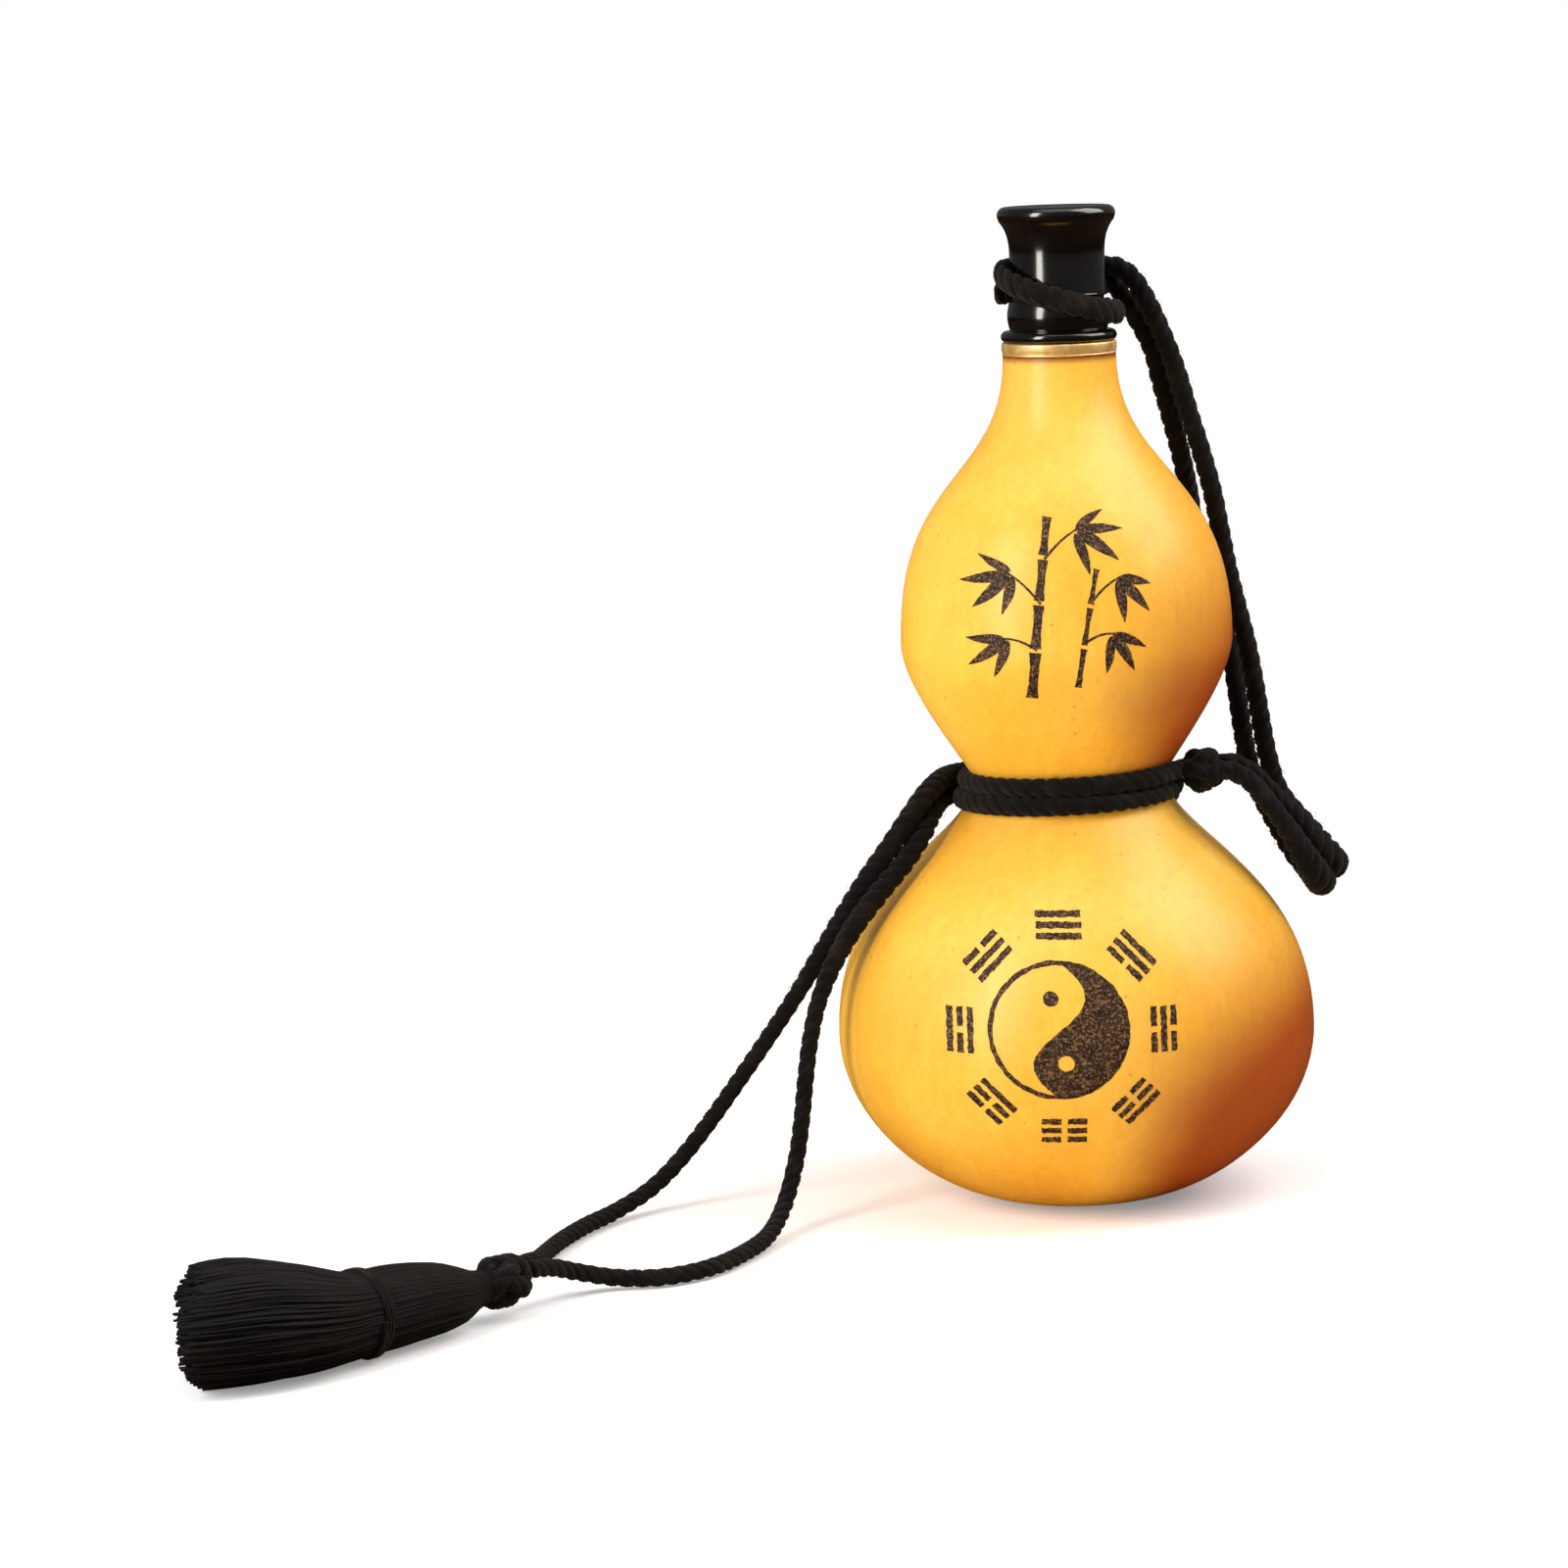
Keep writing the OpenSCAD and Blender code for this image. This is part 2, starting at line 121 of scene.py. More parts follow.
def meshPiece(name, points, faces, uv):
    mesh = bpy.data.meshes.new(name)
    mesh.from_pydata(points, [], faces)
    layer = mesh.uv_layers.new(name='along')
    for loop in mesh.loops:
        layer.data[loop.index].uv = uv[loop.vertex_index]
    mesh.validate()
    piece = bpy.data.objects.new(name, mesh)
    bpy.context.collection.objects.link(piece)
    mesh.shade_smooth()
    return piece


# Camera, at the photograph's place: a metre away and a little above

cameraSet = dict(distance=1.0, elevation=8.5, roll=1.9, aim=(-0.0583, 0.0, 0.0864), frameWidth=0.32,
    sensor=36, clip=50)


def makeCamera(c):
    bpy.ops.object.camera_add()
    camera = bpy.context.object
    sight = math.radians(c['elevation'])
    away = Vector((0, -math.cos(sight), math.sin(sight))) * c['distance']
    stand = Matrix.Translation(Vector(c['aim']) + away)
    camera.matrix_world = stand @ turned(90 - c['elevation'], 'X') @ turned(-c['roll'], 'Z')
    camera.data.sensor_width = c['sensor']
    camera.data.lens = c['sensor'] * c['distance'] / c['frameWidth']
    camera.data.clip_end = c['clip']
    bpy.context.scene.camera = camera


makeCamera(cameraSet)
print('camera placed')


# Cords: one black cotton cord, three plies laid round each other

cord = dict(diameter=3.2 * mm, plySize=0.79, plyOffset=0.28, layLength=9 * mm, step=0.6 * mm, sides=9,
    # Loose fibre ends that stand off the cord, for each millimetre of it
    hairs=1.3, hairL=0.9 * mm, hairR=0.028 * mm)
# The leash hangs in a bight, where the soft cord opens a little. It runs from the waist, at
# blendStart, to the hitch, at blendEnd.
leash = dict(size=1.24, bightRise=17 * mm, bightSwell=0.56, blendStart=(0.036, 0.01, 0.095),
    blendEnd=(0.014, 0.01, 0.186))
# The tassel's cords are softest where they leave the winding
fall = dict(size=1.06, swell=0.28, low=42 * mm, rise=22 * mm)
leashA = [(7.4, 14.6, 187.9), (9.7, 12.5, 188.9), (12.3, 10.5, 188.9), (14.8, 9.2, 187.5), (17, 8.6, 184.6),
    (19.6, 8, 179.5), (22.6, 8, 172), (24.6, 8, 166), (26.5, 8.5, 159), (28.9, 9, 151), (31, 9.5, 143),
    (32.5, 10, 135), (33.9, 10, 127), (35.7, 10, 119), (37.6, 10, 111), (39, 10, 103), (40.2, 10, 95),
    (41.6, 10, 87), (44, 10.2, 79.5), (49.5, 10, 71.5), (52.6, 8, 67.6), (53.8, 3, 66), (52.6, -2, 67.6),
    (49.5, -4, 71.5), (45.5, -4.5, 76.5), (41, -4.8, 81.6), (37, -4.9, 86), (32.8, -4.8, 88.4),
    (29.6, -5.2, 88.2)]
leashB = [(8.4, 16, 187.2), (11, 14.4, 186.6), (13, 13, 184.2), (15.6, 11.8, 180), (19.4, 11.2, 172.5),
    (21.3, 11.2, 165), (23.2, 11.4, 157.5), (25.2, 12.8, 149.5), (27, 16.6, 141), (28.2, 20.8, 132.5),
    (30.2, 22.6, 124.5), (33, 20.2, 116.5), (35, 17.4, 108.5), (35.9, 15.6, 101), (36.7, 14.4, 93.5),
    (37.9, 13.8, 86), (40.4, 13.6, 78.5), (46.5, 13, 68.5), (49.8, 10, 64.4), (51.1, 2.7, 62.6),
    (49.8, -4.6, 64.6), (46.9, -7.6, 69.2), (43.4, -8.4, 75.2), (39.6, -8.8, 80.6), (35.9, -8.9, 85.2),
    (31.9, -8.2, 87.4), (29.4, -6.8, 87.2)]
# The first two points of each are under the winding
fallA = [(-7, 21.3, 86), (-12.9, 20.6, 85.6), (-19, 17.4, 85.2), (-23.8, 9.8, 85.6), (-26.6, 1.8, 85.6),
    (-29.8, -4.6, 83.6), (-33.2, -8, 79.6), (-37, -10, 74.6), (-42.2, -11.4, 67.8), (-47.6, -12, 59.8),
    (-53, -11.6, 51.4), (-58.2, -10.6, 43.2), (-63.8, -9.6, 35), (-69.6, -8.6, 26.8), (-75.6, -8, 18.6),
    (-81.8, -8, 11), (-88.2, -10, 5.2), (-95.2, -16, 2.2), (-101, -26, 1.8), (-105.6, -38, 1.8),
    (-108.6, -50, 2), (-109.6, -62, 3.6), (-109, -73, 6.4), (-109.4, -80, 8.2), (-112.1, -85.3, 8.6)]
fallB = [(-7.1, 22.2, 82), (-13.3, 21.4, 81.7), (-19.8, 18, 81.4), (-24.4, 10.8, 81.6), (-26.8, 3, 81.4),
    (-28.6, -3.4, 79.8), (-30.8, -8, 76.2), (-34.4, -11, 71.4), (-39.6, -13.6, 65.8), (-44.8, -15.4, 59.6),
    (-49.4, -17, 52.2), (-52.8, -18.8, 44.6), (-54.8, -20.6, 36.8), (-56, -22, 29), (-57, -23.2, 21.2),
    (-58.4, -25, 13.4), (-60.8, -30, 6.2), (-64, -40, 2.4), (-68.6, -52, 1.8), (-75.6, -64, 1.8),
    (-84.4, -70.2, 1.8), (-93.4, -71.2, 2.2), (-100.6, -74.8, 4.4), (-105.4, -80.8, 7),
    (-109.5, -87.9, 8.6)]


def smoothPath(points, step):
    # A curve through the points, cut into even steps
    corners = [Vector(p) for p in points]
    corners = [2 * corners[0] - corners[1]] + corners + [2 * corners[-1] - corners[-2]]
    fine = []
    for i in range(1, len(corners) - 2):
        a, b, c, d = corners[i - 1:i + 3]
        for k in range(24):
            t = k / 24
            fine.append(0.5 * (2 * b + (c - a) * t + (2 * a - 5 * b + 4 * c - d) * t * t
                + (3 * b - a - 3 * c + d) * t ** 3))
    fine.append(corners[-2])
    return evenPath(fine, step)


def evenPath(fine, step):
    reach = [0.0]
    for a, b in zip(fine, fine[1:]):
        reach.append(reach[-1] + (b - a).length)
    count = max(2, round(reach[-1] / step))
    path, k = [], 0
    for i in range(count + 1):
        want = reach[-1] * i / count
        while k < len(fine) - 2 and reach[k + 1] < want:
            k += 1
        share = (want - reach[k]) / max(reach[k + 1] - reach[k], 1e-9)
        path.append(fine[k].lerp(fine[k + 1], min(1, share)))
    return path


def pathLength(path):
    return sum((b - a).length for a, b in zip(path, path[1:]))


def headings(points):
    # The line's direction at each of its points
    last = len(points) - 1
    return [(points[min(i + 1, last)] - points[max(i - 1, 0)]).normalized() for i in range(last + 1)]


def squared(side, along):
    # The side turned square to the line, and the direction square to both
    side = (side - side.dot(along) * along).normalized()
    return side, along.cross(side)


def sideways(path):
    # A side direction and its square for each point, carried along without twist
    along = headings(path)
    side = along[0].orthogonal().normalized()
    pairs = []
    for direction in along:
        side, other = squared(side, direction)
        pairs.append((side, other))
    return pairs


def outwards(path):
    # The same for a cord wound on something round: the side points away from the axis
    return [squared(Vector((spot.x, spot.y, 0)).normalized(), along)
        for spot, along in zip(path, headings(path))]


def tubeParts(path, radius, sides, points, faces, uv, offset=0.0, phase=0.0, lay=1.0, pairs=None):
    # Adds one closed tube to the lists, wound round the path at an offset
    pairs = pairs or sideways(path)
    first = len(points)
    reach = 0.0
    for i, (centre, (side, other)) in enumerate(zip(path, pairs)):
        reach += (centre - path[i - 1]).length if i else 0.0
        turn = phase + 2 * math.pi * reach / lay
        middle = centre + offset * (math.cos(turn) * side + math.sin(turn) * other)
        for k in range(sides):
            a = 2 * math.pi * k / sides + turn
            points.append(middle + radius * (math.cos(a) * side + math.sin(a) * other))
            uv.append((k / sides, reach / mm))
    rows = len(path)
    for i in range(rows - 1):
        for k in range(sides):
            a = first + i * sides + k
            b = first + i * sides + (k + 1) % sides
            faces.append((a, b, b + sides, a + sides))
    faces.append([first + k for k in range(sides - 1, -1, -1)])
    faces.append([first + (rows - 1) * sides + k for k in range(sides)])


def laidCord(name, path, size=1.0, pairs=None, press=(1, 1), girth=None):
    radius = cord['diameter'] / 2 * size
    girth = girth or [1.0] * len(path)
    pairs = [(side * press[0] * wide, other * press[1] * wide)
        for (side, other), wide in zip(pairs or sideways(path), girth)]
    points, faces, uv = [], [], []
    for ply in range(3):
        tubeParts(path, radius * cord['plySize'], cord['sides'], points, faces, uv,
            radius * cord['plyOffset'], 2 * math.pi * ply / 3, cord['layLength'], pairs)
    for k in range(round(pathLength(path) / mm * cord['hairs'])):
        i = dice.randrange(1, len(path) - 1)
        a = dice.uniform(0, 2 * math.pi)
        out = math.cos(a) * pairs[i][0] + math.sin(a) * pairs[i][1]
        along = (path[i + 1] - path[i - 1]).normalized() * dice.choice((-1, 1))
        root, reach = path[i] + out * radius, cord['hairL'] * dice.uniform(0.5, 1.3)
        hair = [root + out * reach * t * (1 - 0.5 * t) + along * reach * t * t
            for t in (-0.1, 0.3, 0.65, 1.0)]
        if min(spot.z for spot in hair) > 0:
            tubeParts(hair, cord['hairR'], 3, points, faces, uv)
    return meshPiece(name, points, faces, uv)


# Where the gourd's outline, the winding and the hitch take their places

gourd = dict(
    footR=13 * mm, lowerR=48.8 * mm, lowerZ=34.4 * mm, waistR=19.6 * mm, waistZ=86.2 * mm,
    upperR=33.7 * mm, upperZ=114.5 * mm, neckR=11.4 * mm, neckZ=172 * mm,
    # How far the two handles of each curve reach, from the foot up
    pull=(0.43, 0.56, 0.62, 0.24, 0.08, 0.34, 0.6, 0.43),
    wall=3.2 * mm, boreR=8.25 * mm, boreDepth=16.5 * mm, shoulder=4 * mm, steps=26, around=160)


def cubic(a, b, c, d, t):
    return (1 - t) ** 3 * a + 3 * (1 - t) ** 2 * t * b + 3 * (1 - t) * t * t * c + t ** 3 * d


def stretch(low, high, lowShare, highShare, steps):
    rise = high.y - low.y
    return [cubic(low, low + Vector((0, rise * lowShare)), high - Vector((0, rise * highShare)), high,
        i / steps) for i in range(1, steps + 1)]


def gourdOutline(g):
    foot, lower = Vector((g['footR'], 0)), Vector((g['lowerR'], g['lowerZ']))
    waist, upper = Vector((g['waistR'], g['waistZ'])), Vector((g['upperR'], g['upperZ']))
    neck = Vector((g['neckR'], g['neckZ']))
    steps, pull = g['steps'], g['pull']
    level = foot + Vector(((lower.x - foot.x) * pull[0], 0))
    upright = lower - Vector((0, lower.y * pull[1]))
    under = [cubic(foot, level, upright, lower, i / steps) for i in range(steps + 1)]
    return (under + stretch(lower, waist, pull[2], pull[3], steps)
        + stretch(waist, upper, pull[4], pull[5], steps) + stretch(upper, neck, pull[6], pull[7], steps))


outline = gourdOutline(gourd)


def radiusAt(z):
    for a, b in zip(outline, outline[1:]):
        if a.y <= z <= b.y:
            return a.x + (b.x - a.x) * (z - a.y) / max(b.y - a.y, 1e-9)
    return outline[-1].x


def rolledRadius(z, ball):
    # Radius at which a ball touches the gourd from outside
    return max(radiusAt(z + ball * math.sin(math.radians(a))) + ball * math.cos(math.radians(a))
        for a in range(-75, 76, 15))


winding = dict(size=1.08, bandZ=85.3 * mm, bandDrop=0.65, turns=2, lap=8, count=240, gap=0.5 * mm,
    seat=0.1 * mm, press=(0.9, 1.12), tuck=4.6 * mm, tuckRise=1.2 * mm, tuckPoints=20,
    knotSize=1.12, knotR=2.8 * mm, knotAt=(26.6, -6.0, 87.4), knotLead=(1.2, -0.2, 0))


def windingPath(w):
    knotAngle = math.degrees(math.atan2(w['knotAt'][1], w['knotAt'][0]))
    start = knotAngle + w['lap'] / 2
    sweep = 360 * w['turns'] - w['lap']
    pitch = cord['diameter'] + w['gap']
    low = w['bandZ'] - w['bandDrop'] * w['turns'] * pitch
    count = w['count']
    loop = []
    for i in range(count + 1):
        angle = math.radians(start + sweep * i / count)
        z = low + pitch * sweep / 360 * i / count
        r = rolledRadius(z, cord['diameter'] / 2 + w['seat'])
        loop.append(Vector((r * math.cos(angle), r * math.sin(angle), z)))
    # The first end is tucked in under the next turn, and the last one turns out into the knot
    for i in range(w['tuckPoints']):
        share = 1 - i / w['tuckPoints']
        loop[i] = loop[i] * (1 - share * share * w['tuck'] / loop[i].xy.length)
        loop[i].z = low + pitch * sweep / 360 * i / count + share * w['tuckRise']
    knot = Vector(w['knotAt']) * mm
    tail = smoothPath([loop[-5], loop[-1] + Vector(w['knotLead']) * mm, knot], cord['step'])
    return evenPath(loop[:-6] + tail, cord['step'])


# The hitch climbs round the knob. Its angles are in degrees from its start to its end.
hitch = dict(size=1.2, start=75, end=522, count=180, high=14.3 * mm, low=5.6 * mm, dropAt=150, dropOver=200,
    rise=4.2 * mm, riseAt=370, riseOver=150, rimZ=174.7 * mm, gripR=9.6 * mm, drumR=10.3 * mm, drumOver=120,
    slack=0.4 * mm, press=(0.78, 1.2), knotR=2.2 * mm, knotAt=(6.7, 16.3, 186.9), knotLead=(2.6, 1.4, -0.2))


def ease(t):
    t = min(1, max(0, t))
    return t * t * (3 - 2 * t)


def hitchPath(h):
    loop = []
    for i in range(h['count'] + 1):
        a = h['start'] + (h['end'] - h['start']) * i / h['count']
        z = (h['rimZ'] + h['high'] - (h['high'] - h['low']) * ease((a - h['dropAt']) / h['dropOver'])
            + h['rise'] * ease((a - h['riseAt']) / h['riseOver']))
        r = (cord['diameter'] / 2 * h['press'][0] + h['gripR'] + h['slack']
            + (h['drumR'] - h['gripR']) * ease((a - h['dropAt']) / h['drumOver']))
        loop.append(Vector((r * math.cos(math.radians(a)), r * math.sin(math.radians(a)), z)))
    knot = Vector(h['knotAt']) * mm
    lead = smoothPath([knot, loop[0] + Vector(h['knotLead']) * mm, loop[0]], cord['step'])
    return evenPath(lead[:-1] + loop, cord['step'])


def knotPath(at, reach, tilt, stretch=1.0):
    # A knot drawn tight: one cord three times round a small ball, over and under itself
    place = Matrix.Translation(Vector(at) * mm) @ tilt
    line = []
    for i in range(241):
        t = 2 * math.pi * i / 241
        size = reach - 0.3 * mm * math.sin(8 * t)
        rise = math.radians(58) * math.sin(4 * t)
        level = size * math.cos(rise)
        up = size * math.sin(rise) * stretch
        line.append(place @ Vector((level * math.cos(3 * t), level * math.sin(3 * t), up)))
    return evenPath(line, cord['step'])


# The tassel lies on the table on a level axis, and its skirt drifts to one side. In millimetres,
# each row: distance from the start of the knot, drift, half width, half height, axis height
tassel = dict(at=(-111.2, -87.2, 0.0), angle=225.5, knotL=9.5, knotUp=7.2, knotR=3.3 * mm, knotStretch=1.35,
    knotSize=1.2, bindAt=39.7, bindL=1.8, bindTurns=3, threadR=0.45 * mm, endAt=71.4,
    yarnR=0.31, skinYarns=420, coreYarns=320, skinFrom=8.0, coreFrom=38.0, lowest=0.45,
    # Where the core's ball starts and how long it is, and the cord's last points inside the bundle
    coreAt=8.2, coreL=54, cordInside=((7, 7.8), (15, 7.2), (23, 7.6), (31, 8.1)),
    rows=((7.5, 0, 2.6, 2.6, 7.2), (9.5, 0, 3.0, 3.0, 7.0), (12.6, 0, 3.6, 3.6, 6.9),
        (15, 0, 4.7, 4.7, 6.9), (17, 0, 5.5, 5.5, 7.0), (21, 0, 6.4, 6.4, 7.4), (27.5, 0, 7.1, 7.1, 7.9),
        (32.6, 0, 7.5, 7.5, 8.1), (38.5, 0, 7.7, 7.6, 8.2), (41.2, 0, 7.9, 7.7, 8.3),
        (43.8, -0.4, 9.0, 8.1, 8.5), (46.5, -1.2, 11.0, 8.7, 8.8), (54, -3.5, 14.4, 10.1, 9.8),
        (62, -6.6, 16.2, 11.0, 10.6), (68, -10.2, 16.6, 10.7, 10.3), (73, -14.0, 16.2, 10.2, 9.9)))


def tasselPoint(along, side, up):
    # From the tassel's own axis, in millimetres, to the frame
    place = Matrix.Translation(Vector(tassel['at'])) @ turned(tassel['angle'], 'Z')
    return (place @ Vector((along, side, up))) * mm


def tasselRow(along):
    # Drift, half width, half height and axis height, eased between the rows
    rows = tassel['rows']
    along = min(max(along, rows[0][0]), rows[-1][0] - 0.001)
    i = max(k for k in range(len(rows) - 1) if rows[k][0] <= along)
    before, start, end, after = rows[max(i - 1, 0)], rows[i], rows[i + 1], rows[min(i + 2, len(rows) - 1)]
    reach = end[0] - start[0]
    t = (along - start[0]) / reach
    eased = []
    for k in range(1, 5):
        leave = (end[k] - before[k]) / (end[0] - before[0]) * reach
        arrive = (after[k] - start[k]) / (after[0] - start[0]) * reach
        eased.append((2 * t ** 3 - 3 * t * t + 1) * start[k] + (t ** 3 - 2 * t * t + t) * leave
            + (3 * t * t - 2 * t ** 3) * end[k] + (t ** 3 - t * t) * arrive)
    return eased


def tasselSkin(along, angle, depth, wander=0.0):
    # A point of the bundle at a distance, a turn round the axis and a depth from it
    drift, wide, high, axisZ = tasselRow(along)
    slope = math.atan2(tasselRow(along + 0.5)[0] - tasselRow(along - 0.5)[0], 1.0)
    side = (wide * depth + wander) * math.cos(angle)
    up = max(tassel['lowest'], axisZ + (high * depth + wander * 0.6) * math.sin(angle))
    return tasselPoint(along - side * math.sin(slope), drift + side * math.cos(slope), up)


# Soft-spun cotton: fine fibres run aslant round each ply, and the dye is a little uneven
cordBlack, tree, _, _, dye = newMaterial('BlackTwistedCotton', 260.0, 4.0,
    [(0.3, '#080606'), (0.55, '#0F0C0B'), (0.8, '#241C19')])
cordUv = addNode(tree, 'UVMap', {'uv_map': 'along'})
fibreTurn = addNode(tree, 'Mapping', {'Scale': (6.0, 1.6, 1.0), 'Rotation': (0, 0, 0.5)},
    {'Vector': cordUv})
fibres = addNode(tree, 'TexNoise', {'Scale': 2.2, 'Detail': 3.0, 'Roughness': 0.6}, {'Vector': fibreTurn})
fibreBump = addNode(tree, 'Bump', {'Strength': 0.7, 'Distance': 0.25 * mm}, {'Height': fibres})
closeMaterial(tree, {'Roughness': 0.9, 'Sheen Weight': 0.06, 'Sheen Roughness': 0.5,
    'Specular IOR Level': 0.15}, {'Base Color': dye, 'Normal': fibreBump})


def freeStrand(name, route, node, blended, extra=()):
    path = smoothPath([Vector(p) * mm for p in route] + list(extra), cord['step'])
    if blended:
        low = min(spot.z for spot in path)
        size = leash['size']
        girth = [1 + leash['bightSwell'] * ease(1 - (spot.z - low) / leash['bightRise']) for spot in path]
    else:
        size = fall['size']
        girth = [1 + fall['swell'] * ease((spot.z - fall['low']) / fall['rise']) for spot in path]
    piece = laidCord(name, path, size, girth=girth)
    finishPiece(piece, cordBlack, None if blended else 'bottle', [node])
    if blended:
        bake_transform(piece)
    print(name, round(pathLength(path), 4), 'm')


freeStrand('leashOuter', leashA, 'leash_strand_a', True)
freeStrand('leashInner', leashB, 'leash_strand_b', True)

hitchLine = hitchPath(hitch)
windingLine = windingPath(winding)
backKnot = knotPath(hitch['knotAt'], hitch['knotR'], turned(70, 'Y'))
sideKnot = knotPath(winding['knotAt'], winding['knotR'], turned(75, 'Y'))
for name, line, size, pairs, press, body, node in (
        ('stopperHitch', hitchLine, hitch['size'], outwards(hitchLine), hitch['press'], 'hitch',
            'stopper_hitch'),
        ('hitchKnot', backKnot, 1.0, None, (1, 1), 'hitch', 'hitch_knot'),
        ('waistWinding', windingLine, winding['size'], outwards(windingLine), winding['press'], 'bottle',
            'waist_wrap'),
        ('waistKnot', sideKnot, winding['knotSize'], None, (1, 1), 'bottle', 'waist_knot')):
    finishPiece(laidCord(name, line, size, pairs, press), cordBlack, body, [node])
print('winding, hitch and knots made')


# Tassel: a knot, then one bundle of yarn over a round head, bound, and a loose skirt

def yarnPath(angle, depth, lag, wave, start):
    # The yarn follows the bundle. Yarn at the top and bottom is cut a little shorter.
    end = tassel['endAt'] - 3.5 * (depth * math.sin(angle)) ** 2 + lag
    count = 15
    path = []
    for i in range(count + 1):
        along = start + (end - start) * i / count
        loose = min(1, max(0.12, (along - tassel['bindAt']) / 25))
        turn = angle + 0.05 * wave * math.sin(0.11 * along + 5 * wave) * loose
        wander = 0.8 * wave * math.sin(0.17 * along + 9 * wave) * loose
        path.append(tasselSkin(along, turn, depth, wander))
    return path


def makeTassel():
    points, faces, uv = [], [], []
    for k in range(tassel['skinYarns']):
        angle = 2 * math.pi * (k + dice.uniform(-0.5, 0.5)) / tassel['skinYarns']
        path = yarnPath(angle, dice.uniform(0.93, 1.0), dice.uniform(-1.2, 0.8), dice.uniform(-1, 1),
            tassel['skinFrom'])
        radius = tassel['yarnR'] * dice.uniform(0.85, 1.2) * mm
        tubeParts(smoothPath(path, 2.3 * mm), radius, 5, points, faces, uv)
    for k in range(tassel['coreYarns']):
        depth = 0.92 * math.sqrt(dice.random())
        path = yarnPath(dice.uniform(0, 2 * math.pi), depth, dice.uniform(-1.5, 1.0), dice.uniform(-1, 1),
            tassel['coreFrom'])
        radius = tassel['yarnR'] * dice.uniform(0.9, 1.3) * mm
        tubeParts(smoothPath(path, 2.6 * mm), radius, 4, points, faces, uv)
    return meshPiece('tasselYarn', points, faces, uv)


def makeTasselCore():
    # The rolled bundle under the skin of yarn, from the knot to the last part of the skirt
    bpy.ops.mesh.primitive_uv_sphere_add(segments=40, ring_count=30, radius=1)
    core = bpy.context.object
    core.name = 'tasselCore'
    for vertex in core.data.vertices:
        x, y, z = vertex.co
        flat = max(math.hypot(x, y), 1e-6)
        along = tassel['coreAt'] + tassel['coreL'] * (z + 1) / 2
        vertex.co = tasselSkin(along, math.atan2(y, x), 0.9 * min(1.0, flat * 2.2))
    bpy.ops.object.mode_set(mode='EDIT')
    bpy.ops.mesh.select_all(action='SELECT')
    bpy.ops.mesh.normals_make_consistent(inside=False)
    bpy.ops.object.mode_set(mode='OBJECT')
    bpy.ops.object.shade_smooth()
    return core


# Mercerised cotton yarn: a faint shine along each strand, browner where it is worn
tasselBlack, tree, _, _, dye = newMaterial('BlackTasselYarn', 180.0, 4.0,
    [(0.3, '#060505'), (0.55, '#0B0908'), (0.8, '#19130F')])
yarnUv = addNode(tree, 'UVMap', {'uv_map': 'along'})
yarnTwist = addNode(tree, 'TexWave', {'Scale': 1.4, 'Distortion': 0.6}, {'Vector': yarnUv})
yarnBump = addNode(tree, 'Bump', {'Strength': 0.4, 'Distance': 0.1 * mm},
    {'Height': yarnTwist.outputs['Fac']})
closeMaterial(tree, {'Roughness': 0.7, 'Sheen Weight': 0.03, 'Sheen Roughness': 0.45,
    'Specular IOR Level': 0.18}, {'Base Color': dye, 'Normal': yarnBump})

yarnPiece = makeTassel()
finishPiece(yarnPiece, tasselBlack, 'bottle', ['tassel_skirt'])
corePiece = makeTasselCore()
finishPiece(corePiece, tasselBlack, 'bottle', ['tassel_head'])
tieTilt = turned(tassel['angle'], 'Z') @ turned(90, 'Y')
tieAt = tasselPoint(tassel['knotL'] / 2, 0, tassel['knotUp']) / mm
tieLine = knotPath(tieAt, tassel['knotR'], tieTilt, tassel['knotStretch'])
tiePiece = laidCord('tasselKnot', tieLine, tassel['knotSize'])
finishPiece(tiePiece, cordBlack, 'bottle', ['tassel_knot'])

threadLine = []
for i in range(145):
    turnAngle = 2 * math.pi * i / 144 * tassel['bindTurns']
    threadLine.append(tasselSkin(tassel['bindAt'] + tassel['bindL'] * (i / 144 - 0.5), turnAngle, 1.07))
points, faces, uv = [], [], []
tubeParts(evenPath(threadLine, 0.7 * mm), tassel['threadR'], 7, points, faces, uv)
threadPiece = meshPiece('tasselThread', points, faces, uv)
finishPiece(threadPiece, cordBlack, 'bottle', ['tassel_binding'])

insideTassel = [tasselPoint(reach, 0, up) for reach, up in tassel['cordInside']]
freeStrand('tasselCordOuter', fallA, 'tassel_strand_a', False, insideTassel)
freeStrand('tasselCordInner', fallB, 'tassel_strand_b', False)
print('tassel made')


# The gourd: one lathe-turned skin with its bored neck and its hollow

def latheProfile(name, profile, around):
    # Draws the profile point by point, then spins it round the axis
    bpy.ops.mesh.primitive_plane_add(size=0.001)
    piece = bpy.context.object
    piece.name = name
    bpy.ops.object.mode_set(mode='EDIT')
    bpy.ops.mesh.select_all(action='SELECT')
    bpy.ops.mesh.merge(type='CENTER')
    bpy.ops.transform.translate(value=(profile[0][0], 0, profile[0][1]))
    for (r0, z0), (r1, z1) in zip(profile, profile[1:]):
        bpy.ops.mesh.extrude_vertices_move(TRANSFORM_OT_translate={'value': (r1 - r0, 0, z1 - z0)})
    bpy.ops.mesh.select_all(action='SELECT')
    bpy.ops.mesh.spin(steps=around, angle=2 * math.pi, center=(0, 0, 0), axis=(0, 0, 1))
    bpy.ops.mesh.select_all(action='SELECT')
    bpy.ops.mesh.remove_doubles(threshold=1e-6)
    bpy.ops.mesh.normals_make_consistent(inside=False)
    bpy.ops.object.mode_set(mode='OBJECT')
    bpy.ops.object.shade_smooth_by_angle(angle=math.radians(40))
    return piece


